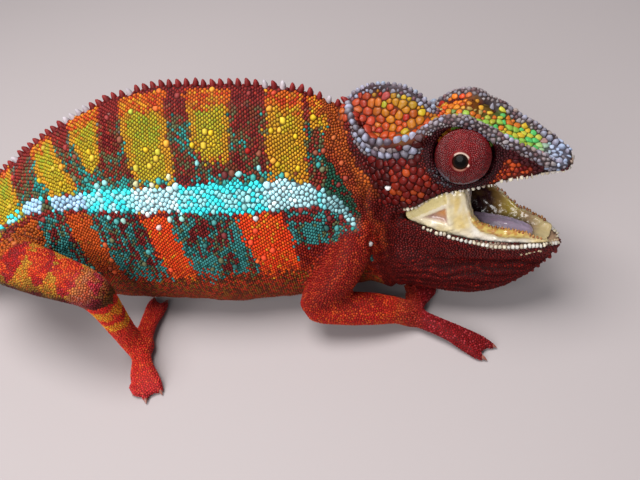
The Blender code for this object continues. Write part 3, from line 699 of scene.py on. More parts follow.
@dataclass(frozen=True)
class ScaleFinish:
    """Dry horn-like surface of skin and scales, coloured by the pigment layer."""

    name: str
    # Tint of the painted shade at each scale's foot, which also warms its hue.
    foot: Colour = (0.42, 0.12, 0.09)
    roughness: float = 0.38
    grain: float = 900.0
    specular: float = 0.14
    coat: float = 0.0
    bump: float = 0.15
    depth: float = 0.0002
    coat_roughness: float = 0.2

    def build(self) -> bpy.types.Material:
        """Make the material."""
        own = {"Foot": (*self.foot, 1), "Roughness": self.roughness, "Grain": self.grain}
        feeds = {**own, "Pigment": "pigment", "Rise": "rise"}
        gloss = (self.specular, self.coat, self.coat_roughness)
        return effect_material(self.name, scale_grain, feeds, (self.bump, self.depth), gloss)


@dataclass(frozen=True)
class WetFinish:
    """Moist lining of mouth and tongue."""

    name: str
    stain: Colour
    size: float = 320.0
    share: float = 0.35
    specular: float = 0.6
    coat: float = 0.6
    coat_roughness: float = 0.08
    bump: float = 0.5
    depth: float = 0.0006
    pigment: Colour | None = None

    def build(self) -> bpy.types.Material:
        """Make the material."""
        pigment = (*self.pigment, 1) if self.pigment else "pigment"
        feeds = {"Stain": (*self.stain, 1), "Size": self.size, "Share": self.share, "Pigment": pigment}
        gloss = (self.specular, self.coat, self.coat_roughness)
        return effect_material(self.name, wet_folds, feeds, (self.bump, self.depth), gloss)


# Axes of the body


@dataclass(frozen=True)
class SkullAxes:
    """The head's own axes: x to the snout, y to its left, z up, from between the mouth corners."""

    place: tuple[float, float, float] = (139.463, -44.886, 32.88)
    turn: tuple[tuple[float, float, float], ...] = (
        (0.9231, 0.3514, -0.1562),
        (-0.3107, 0.9208, 0.2358),
        (0.2267, -0.1691, 0.9592),
    )

    def inward(self, points: Array) -> Array:
        """Places in mm in the head's own axes."""
        return (points - np.array(self.place)) @ np.array(self.turn)

    def outward(self, points: Array) -> Array:
        """Places given in the head's own axes, in mm in the model's frame."""
        return np.asarray(points, float) @ np.array(self.turn).T + np.array(self.place)

    def way(self, direction: Array) -> Array:
        """A direction of the head's own axes in the model's frame."""
        return np.asarray(direction, float) @ np.array(self.turn).T


SKULL = SkullAxes()


@dataclass
class TrunkAxes:
    """Distance along the back and share of the way round the flank, measured on the skin."""

    lean: float = math.radians(17)
    step: float = 4.0
    stations: Array = field(default_factory=lambda: np.arange(6.0, 131.0, 4.0))
    top: Array = field(default_factory=lambda: np.zeros(1))
    low: Array = field(default_factory=lambda: np.zeros(1))
    middle: Array = field(default_factory=lambda: np.zeros(1))
    turns: Array = field(default_factory=lambda: np.linspace(-math.pi, math.pi, 121))
    girth: Array = field(default_factory=lambda: np.zeros((1, 1)))

    def measure(self, points: Array) -> None:
        """Take the profile from the trunk's own surface.

        Args:
            points: vertices of the trunk in mm.
        """
        rise, across = self._leaned(points)
        levels = np.full((3, len(self.stations)), np.nan)
        for number, station in enumerate(self.stations):
            near = np.abs(points[:, 0] - station) < self.step * 0.75
            if near.sum() >= 8:
                low, top = np.percentile(rise[near], [0.5, 99.5])
                levels[:, number] = top, low, np.percentile(across[near], [3, 97]).mean()
        keep = ~np.isnan(levels[0])
        blur = np.array([0.25, 0.5, 0.25])
        smooth = []
        for row in levels:
            row = np.interp(self.stations, self.stations[keep], row[keep])
            smooth.append(np.convolve(np.pad(row, 1, mode="edge"), blur, mode="valid"))
        self.top, self.low, self.middle = smooth
        along, turn, reach = self._turned(points)
        rows = []
        for station in self.stations:
            near = np.abs(along - station) < self.step
            level = np.interp(self.turns, *binned(turn[near], reach[near], 48))
            rows.append(diffuse_row(level, 3))
        self.girth = np.array(rows)

    def profile(self, along: Array | float) -> tuple[Array, Array, Array]:
        """Levels of spine and belly and the middle between the sides, at distances along."""
        return tuple(np.interp(along, self.stations, row) for row in (self.top, self.low, self.middle))

    def _turned(self, points: Array) -> tuple[Array, Array, Array]:
        """Distance along the back, turn from the spine about the section's middle, and reach.

        Args:
            points: places in mm.

        Returns:
            One value of each for every place.
        """
        rise, across = self._leaned(points)
        along = points[:, 0]
        top, low, middle = self.profile(along)
        high, wide = rise - (top + low) / 2, across - middle
        return along, np.arctan2(wide, high), np.hypot(wide, high)

    def rows(self, points: Array, sizes: Array, pulls: Array) -> tuple[Array, Array]:
        """Number of the scale column and place down it, for places on the trunk.

        Args:
            points: places in mm.
            sizes: spacing of the scales at each station and turn.
            pulls: how much taller than wide they are there.

        Returns:
            Column and level, both growing by one from scale to scale.
        """
        along, turn, _ = self._turned(points)
        wide = (HEX * sizes / np.sqrt(pulls)).mean(axis=1)
        column = np.interp(along, self.stations, np.cumsum(self.step / wide))
        pace = self.turns[1] - self.turns[0]
        arc = np.hypot(self.girth, np.gradient(self.girth, pace, axis=1)) * pace
        level = np.cumsum(arc / (sizes * np.sqrt(pulls)), axis=1)
        level -= level[:, len(self.turns) // 2][:, None]
        at = np.clip((along - self.stations[0]) / self.step, 0, len(self.stations) - 1.001)
        over = np.clip((turn - self.turns[0]) / pace, 0, len(self.turns) - 1.001)
        i, j = at.astype(int), over.astype(int)
        u, v = at - i, over - j
        under = level[i, j] * (1 - v) + level[i, j + 1] * v
        after = level[i + 1, j] * (1 - v) + level[i + 1, j + 1] * v
        return column, under * (1 - u) + after * u

    def grid(self) -> tuple[Array, Array]:
        """Share from spine to belly, and distance along, of every station and turn."""
        rise = self.girth * np.cos(self.turns)[None] + ((self.top + self.low) / 2)[:, None]
        share = (self.top[:, None] - rise) / (self.top - self.low)[:, None]
        return np.repeat(self.stations[:, None], len(self.turns), axis=1), share

    def _leaned(self, points: Array) -> tuple[Array, Array]:
        """Height and sideways distance in the trunk's leaning plane.

        Args:
            points: places in mm.

        Returns:
            Heights and distances in mm.
        """
        rise = points[:, 1] * math.sin(self.lean) + points[:, 2] * math.cos(self.lean)
        across = points[:, 1] * math.cos(self.lean) - points[:, 2] * math.sin(self.lean)
        return rise, across

    def read(self, points: Array) -> tuple[Array, Array, Array]:
        """Body coordinates of places.

        Args:
            points: places in mm.

        Returns:
            Distance along the back, share from the spine (0) to the belly (1), and side, where
            minus one is the right.
        """
        rise, across = self._leaned(points)
        along = points[:, 0]
        top, low, middle = self.profile(along)
        return along, (top - rise) / (top - low), np.sign(across - middle)

    def grain(self, points: Array) -> Array:
        """Direction of the scale rows along the trunk.

        Args:
            points: places in mm.

        Returns:
            Unit directions.
        """
        along, share, _ = self.read(points)
        slope_top = np.interp(along, self.stations, np.gradient(self.top, self.stations))
        slope_low = np.interp(along, self.stations, np.gradient(self.low, self.stations))
        slope = slope_top * (1 - share) + slope_low * share
        return unit(np.column_stack([np.ones(len(points)), np.zeros(len(points)), slope]))


@dataclass
class TailAxes:
    """Middle line of the tail from its root to its curled tip."""

    length: float = 236.0
    root: tuple[float, float, float] = (13.163, -39.386, 18.88)
    root_radius: float = 9.2
    tip_radius: float = 1.15
    sink: float = 1.3
    steps: int = 60
    line: Array = field(default_factory=lambda: np.zeros((1, 3)))

    def __post_init__(self) -> None:
        """Lay out the middle line."""
        spot = np.array(self.root)
        rows = []
        for number in range(self.steps + 1):
            share = number / self.steps
            radius = self.tip_radius + (self.root_radius - self.tip_radius) * (1 - share) ** 0.95
            rows.append(spot.copy())
            heading = math.radians(8 + 34 * math.sin(min(share, 0.55) / 0.55 * math.pi))
            heading += math.radians(300) * max(0.0, share - 0.62) ** 1.25
            pace = self.length / self.steps
            drop = (spot[2] - (radius * 0.94 - self.sink)) * 0.16
            fall = -min(drop, 0.55 * pace)
            spot = spot + np.array([-math.cos(heading) * pace, math.sin(heading) * pace, fall])
        self.line = np.array(rows)

    def stops(self) -> Array:
        """Distance along the tail of each place of its middle line."""
        return np.arange(len(self.line)) * self.length / self.steps

    def read(self, points: Array) -> tuple[Array, Array]:
        """Distance along the tail in mm and direction towards its tip, for each place.

        Args:
            points: places in mm.

        Returns:
            Distances and unit directions.
        """
        nearest = np.empty(len(points), int)
        for start in range(0, len(points), 20000):
            part = points[start : start + 20000]
            gap = ((part[:, None, :] - self.line[None]) ** 2).sum(axis=2)
            nearest[start : start + 20000] = gap.argmin(axis=1)
        ways = unit(np.gradient(self.line, axis=0))
        way = ways[nearest]
        along = nearest * self.length / self.steps
        along = along + ((points - self.line[nearest]) * way).sum(axis=1)
        return along, way

    def rows(self, points: Array, sizes: Array, pull: float) -> tuple[Array, Array]:
        """Number of the scale ring and place round it, from the spacing at steps down the tail.

        Args:
            points: places in mm.
            sizes: spacing of the scales at equal steps down the tail.
            pull: how much taller than wide they are.

        Returns:
            Ring and place round it, both growing by one from scale to scale.
        """
        along, way = self.read(points)
        stops = np.linspace(0, self.length, len(sizes))
        ring = np.interp(along, stops, np.cumsum(stops[1] / (HEX * sizes / math.sqrt(pull))))
        spot = read_along(along, self.stops(), self.line)
        up = unit(np.array([0.0, 0, 1]) - way * way[:, 2:3])
        side = np.cross(up, -way)
        offset = points - spot
        turn = np.arctan2((offset * side).sum(axis=1), (offset * up).sum(axis=1))
        share = clamp(along / self.length)
        radius = self.tip_radius + (self.root_radius - self.tip_radius) * (1 - share) ** 0.95
        return -ring, turn * radius / (np.interp(along, stops, sizes) * math.sqrt(pull))


# Skin


def neck_folds(points: Array) -> Array:
    """Height of the neck's folds at places, between -1 and 1."""
    return np.sin((points[:, 0] + 0.22 * points[:, 2] + 1.2 * ripple(points, 9.0, 5)) * 1.65)


def throat_folds(points: Array) -> Array:
    """Height of the throat's fine folds at places, between -1 and 1."""
    head = SKULL.inward(points)
    return np.sin((head[:, 2] + 0.12 * head[:, 0] + 0.7 * ripple(points, 9.0, 5)) * 3.4)


@dataclass
class Skin:
    """One skin over all the nodes of flesh, inside them by the coat's depth."""

    frame: dict
    swell: float = 0.32
    voxel: float = 0.74
    depth: float = 0.34
    blend_rounds: int = 14
    item: bpy.types.Object | None = None
    points: Array = field(default_factory=lambda: np.zeros((1, 3)))
    normals: Array = field(default_factory=lambda: np.zeros((1, 3)))
    weights: Array = field(default_factory=lambda: np.zeros((1, 10)))
    ways: Array = field(default_factory=lambda: np.zeros((1, 3)))
    trunk: TrunkAxes = field(default_factory=TrunkAxes)
    tail: TailAxes = field(default_factory=TailAxes)

    def build(self) -> None:
        """Wrap, smooth, label and fold the skin."""
        item = copy_nodes(list(NODE_REGIONS), self.frame, "skin")
        points = coords(item.data) + vertex_normals(item.data) * self.swell
        place_vertices(item.data, points)
        bake_modifier(item, "REMESH", mode="VOXEL", voxel_size=self.voxel, use_smooth_shade=True)
        self.item = item
        mesh = item.data
        ends = edge_ends(mesh)
        points = evened(coords(mesh), ends, 7, -0.62)
        place_vertices(mesh, points)
        points = points - vertex_normals(mesh) * (self.swell + self.depth)
        self._label(points, ends)
        points = self._flatten_crests(points, ends)
        points = self._fold(points, mesh)
        points = self._meet_claws(points)
        points[:, 2] = np.maximum(points[:, 2], 0.25)
        place_vertices(mesh, points)
        self.points, self.normals = points, vertex_normals(mesh)
        self.trunk.measure(points[self.share(Region.TRUNK) > 0.8])
        self._lay_grain()
        LOG.info("skin: %d vertices", len(points))

    def share(self, *regions: Region) -> Array:
        """Share that some regions have of each vertex."""
        return sum(self.weights[:, region] for region in regions)

    def _label(self, points: Array, ends: Array) -> None:
        """Give each vertex a soft share of every region and the lie of its limb.

        Args:
            points: places in mm.
            ends: vertex numbers of each edge.
        """
        regions: list[int] = []
        ways: list[Array] = []
        for name, region in NODE_REGIONS.items():
            mesh = self.frame["nodes"][name].data
            own = coords(mesh) * 1000
            spread = np.linalg.eigh(np.cov((own - own.mean(axis=0)).T))[1][:, -1]
            regions += [int(region)] * len(mesh.polygons)
            ways += [spread] * len(mesh.polygons)
        tree = shell_tree(self.frame, list(NODE_REGIONS))
        found = np.array([tree.find_nearest(p)[2] for p in points.tolist()])
        hard = np.zeros((len(points), len(Region)))
        hard[np.arange(len(points)), np.array(regions)[found]] = 1.0
        self.weights = diffuse(hard, ends, self.blend_rounds)
        self.ways = np.array(ways)[found]

    def _flatten_crests(self, points: Array, ends: Array) -> Array:
        """Melt the solid's crest teeth into a plain ridge; cones stand there instead.

        Args:
            points: places in mm.
            ends: vertex numbers of each edge.

        Returns:
            The moved places.
        """
        rise = points[:, 1] * math.sin(self.trunk.lean) + points[:, 2] * math.cos(self.trunk.lean)
        trunk = self.share(Region.TRUNK, Region.NECK)
        along = points[:, 0]
        stations = np.arange(6, 128, 6.0)
        tops = [rise[(np.abs(along - s) < 5) & (trunk > 0.5)].max(initial=-99) for s in stations]
        near_top = rise > np.interp(along, stations, tops) - 4.0
        loose = ((trunk > 0.5) & near_top).astype(float)
        throat = self.share(Region.THROAT) > 0.5
        inward = SKULL.inward(points)
        keel = throat & (np.abs(inward[:, 1]) < 1.8)
        loose[keel] = 1.0
        loose = diffuse(loose[:, None], ends, 3)[:, 0]
        return diffuse(points, ends, 26, clamp(loose) * 0.5)

    def _fold(self, points: Array, mesh: bpy.types.Mesh) -> Array:
        """Raise the folds of neck, throat and eye socket.

        Args:
            points: places in mm.
            mesh: the object's mesh.

        Returns:
            The moved places.
        """
        place_vertices(mesh, points)
        normals = vertex_normals(mesh)
        lift = self.share(Region.NECK) * 0.42 * neck_folds(points)
        lift += self.share(Region.THROAT) * 0.2 * throat_folds(points)
        lift += self.share(Region.TRUNK) * 0.16 * ripple(points * (1.0, 0.5, 0.3), 7.0, 8)
        for side in (-1, 1):
            turret = TurretAxes(side)
            reach, depth = turret.read(points)
            near = (depth > -6.5) & (reach < 11.5)
            ring = np.exp(-(((reach - 7.6) / 0.65) ** 2)) * 0.55
            ring += np.exp(-(((reach - 9.1) / 0.5) ** 2)) * 0.26
            ring -= np.exp(-(((reach - 6.5) / 0.45) ** 2)) * 0.35
            lift += np.where(near, ring, 0.0)
        for row in BEAD_ROWS:
            for side in row.sides if row.swell > 0 else ():
                gap = line_gap(points, row.line(side))
                lift += row.swell * np.exp(-((gap / row.width) ** 2))
        return points + normals * lift[:, None]

    def _meet_claws(self, points: Array) -> Array:
        """Draw each toe out until its tip holds the root of its claw.

        Args:
            points: places in mm.

        Returns:
            The moved places.
        """
        toes = self.share(Region.HAND, Region.FOOT) > 0.6
        for name, node in self.frame["nodes"].items():
            if "claw" not in name:
                continue
            claw = (coords(node.data) * 1000).mean(axis=0)
            near = np.flatnonzero(toes & (np.linalg.norm(points - claw, axis=1) < 9.0))
            if len(near) == 0:
                continue
            limb = (coords(self.frame["nodes"][name.rsplit("_claw", 1)[0]].data) * 1000).mean(axis=0)
            tip = points[near[np.linalg.norm(points[near] - claw, axis=1).argmin()]]
            way = (claw - tip) * (1, 1, 0)
            gap = np.linalg.norm(way)
            if gap < 0.4 or (claw - limb) @ way < 0:
                continue
            way = way / gap
            off = points[near] - tip
            ahead = off @ way
            side = np.linalg.norm(off[:, :2] - ahead[:, None] * way[:2], axis=1)
            pull = clamp((ahead + 4.5) / 4.5) * clamp((2.3 - side) / 0.9)
            points[near] += way * ((gap + 0.1) * pull)[:, None]
        return points

    def _lay_grain(self) -> None:
        """Set the direction of the scale rows at each vertex."""
        trunk_way = self.trunk.grain(self.points)
        _, tail_way = self.tail.read(self.points)
        trunk, tail = self.share(Region.TRUNK, Region.NECK), self.share(Region.TAIL)
        head = self.share(Region.HEAD, Region.JAW, Region.THROAT)
        forward = SKULL.way((1.0, 0.0, 0.0))
        limb = clamp(1 - trunk - tail - head)
        way = trunk_way * trunk[:, None] - tail_way * tail[:, None] + forward * head[:, None]
        turned = self.ways * np.sign((self.ways * trunk_way).sum(axis=1) + 1e-6)[:, None]
        self.ways = unit(way + turned * limb[:, None])

    def unwrap(self) -> Array:
        """Unwrap the skin's own shape and return the middle of each face on that map."""
        activate(self.item)
        bpy.ops.object.mode_set(mode="EDIT")
        bpy.ops.mesh.select_all(action="SELECT")
        bpy.ops.uv.smart_project(angle_limit=math.radians(66), island_margin=0.002)
        bpy.ops.object.mode_set(mode="OBJECT")
        mesh = self.item.data
        layer = mesh.uv_layers.active
        layer.name = "OFBake"
        spots = read_rows(layer.uv, "vector", 2)
        start = face_starts(mesh)
        return (spots[start] + spots[start + 2]) / 2

    def finish(self, markings: "Markings") -> None:
        """Colour the skin and set it down in metres as the piece for every flesh node.

        Args:
            markings: colours of the animal.
        """
        mesh = self.item.data
        draw = np.random.default_rng(41).random((len(self.points), 3))
        rows = markings.colour(self.points, self.weights, draw)
        fine = self.share(Region.ARM, Region.HAND, Region.LEG, Region.FOOT, Region.THROAT, Region.NECK)
        pale = clamp((rows[:, 1] - 0.22) / 0.12) * self.share(Region.JAW)
        # The ground between the scales is darkened to 0.3 to 0.55 of its colour, and more by its foot shade:
        # painted shade in the gaps between scales. Pale jaw skin keeps up to 0.9.
        rows = diffuse(rows, edge_ends(mesh), 1) * np.maximum(0.3 + 0.25 * fine, pale * 0.9)[:, None]
        colour_layer(mesh, "pigment", rows)
        value_layer(mesh, "rise", np.full(len(rows), 0.55))
        mesh.materials.clear()
        mesh.materials.append(ScaleFinish("skin_ground", roughness=0.45).build())
        mesh.transform(Matrix.Scale(MM, 4))
        mesh.update()
        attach(self.item, "root")
        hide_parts(*NODE_REGIONS)


# Turret axes and bead rows of the head


@dataclass(frozen=True)
class TurretAxes:
    """Place and pointing of one eye turret."""

    side: int
    forward: float = math.radians(8)
    raised: float = math.radians(14)
    radius: float = 6.1
    flatness: float = 0.94
    rim: float = 1.75
    eye_radius: float = 4.3
    at: tuple[float, float, float] = (13.3, 9.3, 11.0)

    def centre(self) -> Array:
        """Middle of the dome in mm."""
        return SKULL.outward(np.array([self.at[0], self.side * self.at[1], self.at[2]]))

    def way(self) -> Array:
        """Direction the eye looks in."""
        flat, high = math.cos(self.raised), math.sin(self.raised)
        return unit(
            SKULL.way((flat * math.sin(self.forward), self.side * flat * math.cos(self.forward), high))
        )

    def cross_axes(self) -> tuple[Array, Array]:
        """Two directions across the dome: towards the snout and upwards."""
        way = self.way()
        snout = SKULL.way((1.0, 0.0, 0.0))
        ahead = unit(snout - way * (snout @ way))
        up = np.cross(way, ahead)
        if up[2] < 0:
            up = -up
        return ahead, up

    def read(self, points: Array) -> tuple[Array, Array]:
        """Distance from the eye's axis, and height along it, of places in mm.

        Args:
            points: places in mm.

        Returns:
            Distances and heights in mm.
        """
        offset = points - self.centre()
        depth = offset @ self.way()
        reach = np.linalg.norm(offset - depth[:, None] * self.way(), axis=1)
        return reach, depth


@dataclass(frozen=True)
class BeadRow:
    """A line of larger scales on the head, in the head's own axes with y as a half width."""

    name: str
    spots: tuple[tuple[float, float, float], ...]
    sizes: tuple[float, float]
    tints: tuple[Colour, ...]
    sides: tuple[int, ...] = (-1, 1)
    swell: float = 0.0
    width: float = 1.3
    height: float = 0.42
    start: float = 0.0

    def line(self, side: int, steps: int = 90) -> Array:
        """Places along the row in mm.

        Args:
            side: minus one for the right, one for the left.
            steps: number of places.

        Returns:
            The places in order.
        """
        spots = np.array(self.spots) * (1, side, 1)
        along = arc_of(spots)
        fine = read_along(np.linspace(0, along[-1], steps), along, spots)
        for _ in range(6):
            fine[1:-1] = (fine[:-2] + fine[1:-1] * 2 + fine[2:]) / 4
        return SKULL.outward(fine)

    def places(self, side: int) -> tuple[Array, Array, Array]:
        """Where each bead stands, its spacing and the way the row runs.

        Args:
            side: minus one for the right, one for the left.

        Returns:
            Places, spacings and directions.
        """
        line = self.line(side)
        along = arc_of(line)
        stops, size_now = [], []
        at = self.start + self.sizes[0] / 2
        while at < along[-1]:
            size = self.sizes[0] + (self.sizes[1] - self.sizes[0]) * at / along[-1]
            stops.append(at)
            size_now.append(size)
            at += size
        run = read_along(stops, along, np.gradient(line, axis=0))
        return read_along(stops, along, line), np.array(size_now), unit(run)


LATERAL = (
    (-14.3, 1.2, 22.6), (-13.0, 5.0, 22.0), (-10.6, 8.4, 20.3), (-9.0, 9.2, 18.0), (-7.0, 9.4, 15.9),
    (-4.0, 9.6, 14.9), (-0.5, 9.6, 14.8), (2.4, 9.4, 15.2), (5.2, 8.8, 16.6),
)
LATERAL_LOW = (
    (-11.6, 9.0, 18.6), (-10.2, 9.6, 16.4), (-8.0, 9.8, 14.3), (-4.5, 10.0, 13.2), (-0.5, 10.0, 13.1),
    (3.0, 9.8, 13.7),
)
BROW = (
    (5.2, 8.8, 16.6), (7.2, 8.1, 18.3), (10.4, 7.8, 19.3), (13.2, 7.6, 19.0), (16.9, 7.4, 16.6),
    (19.8, 7.0, 14.2), (25.6, 6.4, 10.8), (29.9, 5.4, 6.8),
)
PARIETAL = (
    (-14.6, 0.0, 22.4), (-13.7, 0.0, 24.5), (-11.4, 0.0, 26.0), (-8.3, 0.0, 26.4), (-4.5, 0.0, 26.3),
    (-1.5, 0.0, 25.6), (2.2, 0.0, 23.6), (4.3, 0.0, 21.0), (6.4, 0.0, 18.6),
)
SNOUT = (
    (27.5, 5.6, 8.8), (30.0, 4.8, 6.6), (32.6, 3.4, 5.6), (34.0, 1.2, 5.2),
)
UPPER_LIP = (
    (-1.5, 11.3, -1.0), (2.0, 10.4, -0.6), (5.8, 9.4, 0.2), (13.5, 9.2, 1.6), (18.4, 8.3, 1.5),
    (23.6, 7.0, 2.2), (28.3, 5.8, 3.0), (33.0, 3.6, 3.2), (34.4, 0.8, 3.4),
)
LOWER_LIP = (
    (1.8, 11.5, -5.4), (6.0, 11.4, -7.2), (10.3, 11.0, -10.2), (16.9, 9.4, -13.2), (22.0, 8.2, -14.4),
    (27.0, 6.6, -15.2), (30.0, 3.4, -15.8), (30.8, 0.6, -15.9),
)
GREYS = (INK.ash, INK.lilac, INK.ash, (0.16, 0.13, 0.17), (0.3, 0.36, 0.48))
BROWNS = ((0.3, 0.27, 0.31), INK.ash, (0.3, 0.25, 0.23), INK.lilac, (0.18, 0.11, 0.12))
WHITES = ((0.7, 0.68, 0.62), (0.72, 0.67, 0.52), (0.6, 0.54, 0.42))
BEAD_ROWS = (
    BeadRow("lateral", LATERAL, (1.5, 2.4), GREYS, swell=0.75, width=1.5, height=0.5),
    BeadRow("lateral_low", LATERAL_LOW, (1.5, 2.1), GREYS, height=0.45),
    BeadRow("brow", BROW, (1.2, 1.35), BROWNS, swell=0.55, width=1.1),
    BeadRow("parietal", PARIETAL, (1.35, 1.3), GREYS, sides=(1,), swell=0.35, width=1.0, height=0.5),
    BeadRow("snout", SNOUT, (1.7, 1.8), ((0.34, 0.42, 0.6), INK.lilac, INK.ash), height=0.5),
    BeadRow("upper_lip", UPPER_LIP, (0.95, 1.15), WHITES, swell=0.2, height=0.5),
    BeadRow("lower_lip", LOWER_LIP, (1.05, 0.95), WHITES, swell=0.15, height=0.5),
)


def line_gap(points: Array, line: Array) -> Array:
    """Distance from places to the nearest point of a line.

    Args:
        points: places in mm.
        line: places of the line.

    Returns:
        Distances in mm, very large far from the line.
    """
    out = np.full(len(points), 1e9)
    low, high = line.min(axis=0) - 6, line.max(axis=0) + 6
    near = np.flatnonzero(((points > low) & (points < high)).all(axis=1))
    for start in range(0, len(near), 20000):
        part = near[start : start + 20000]
        gap = ((points[part, None, :] - line[None]) ** 2).sum(axis=2)
        out[part] = np.sqrt(gap.min(axis=1))
    return out


# Markings


@dataclass(frozen=True)
class Band:
    """A bright bar on the upper flank: middle and half width at the spine and at its foot."""

    top: float
    foot: float
    half_top: float
    half_foot: float
    reach: float
    warmth: float


BANDS = (
    Band(8.0, 12.0, 3.6, 3.6, 0.3, 0.25),
    Band(26.0, 34.5, 4.6, 4.4, 0.36, 0.0),
    Band(42.3, 52.0, 3.6, 4.0, 0.315, 0.05),
    Band(57.0, 60.6, 5.0, 2.0, 0.235, 0.1),
    Band(73.6, 76.2, 6.0, 4.9, 0.345, 0.05),
    Band(90.0, 90.4, 5.6, 3.7, 0.245, 0.1),
    Band(107.5, 107.6, 4.3, 4.2, 0.335, 0.65),
    Band(115.4, 115.0, 2.5, 1.8, 0.14, 0.8),
)
LOW_FIELDS = (
    (6.0, 14.0, 0.0), (19.0, 27.0, 0.0), (33.0, 41.0, 0.1), (50.0, 57.6, 0.35), (70.4, 77.8, 0.9),
    (94.0, 105.0, 1.0),
)


def crest_height(ahead: Array) -> Array:
    """Height of the ridge from casque to snout that parts the top of the head from its side.

    Args:
        ahead: distance towards the snout in mm.

    Returns:
        Heights in mm.
    """
    return np.interp(
        ahead,
        (-15, -10, -9, -7, -4, 2.4, 5, 7.2, 10.4, 13.2, 16.9, 19.8, 25.6, 29.9, 33),
        (20.5, 19.5, 18, 15.7, 14.7, 15, 15.9, 17.6, 18.3, 17.9, 15.6, 13.4, 10.2, 6.6, 4.6),
    )


def on_roof(head: Array) -> Array:
    """Whether places in the head's own axes lie on its top.

    Args:
        head: places in the head's own axes.

    Returns:
        True where they do.
    """
    ahead, half, up = head[:, 0], np.abs(head[:, 1]), head[:, 2]
    crest = crest_height(ahead)
    inner = half < np.interp(ahead, (5, 7, 13, 20, 26, 30, 34), (8.0, 7.2, 6.9, 6.4, 5.8, 4.8, 3.0))
    for side in (-1, 1):
        reach, depth = TurretAxes(side).read(SKULL.outward(head))
        inner &= (reach > 9.6) | (depth < -4.5) | (half < 5.0)
    drop = np.interp(ahead, (5, 13, 18, 31), (5.0, 4.0, 2.4, 2.2)) + 2.6 * (half < 3.7)
    return (up > crest + 0.3) | (inner & (up > crest - drop) & (ahead > 5) & (ahead < 31))


def row_gap(points: Array, name: str = "brow") -> Array:
    """Distance from places to the nearer of the two rows with a name."""
    row = next(item for item in BEAD_ROWS if item.name == name)
    return np.minimum(line_gap(points, row.line(-1)), line_gap(points, row.line(1)))


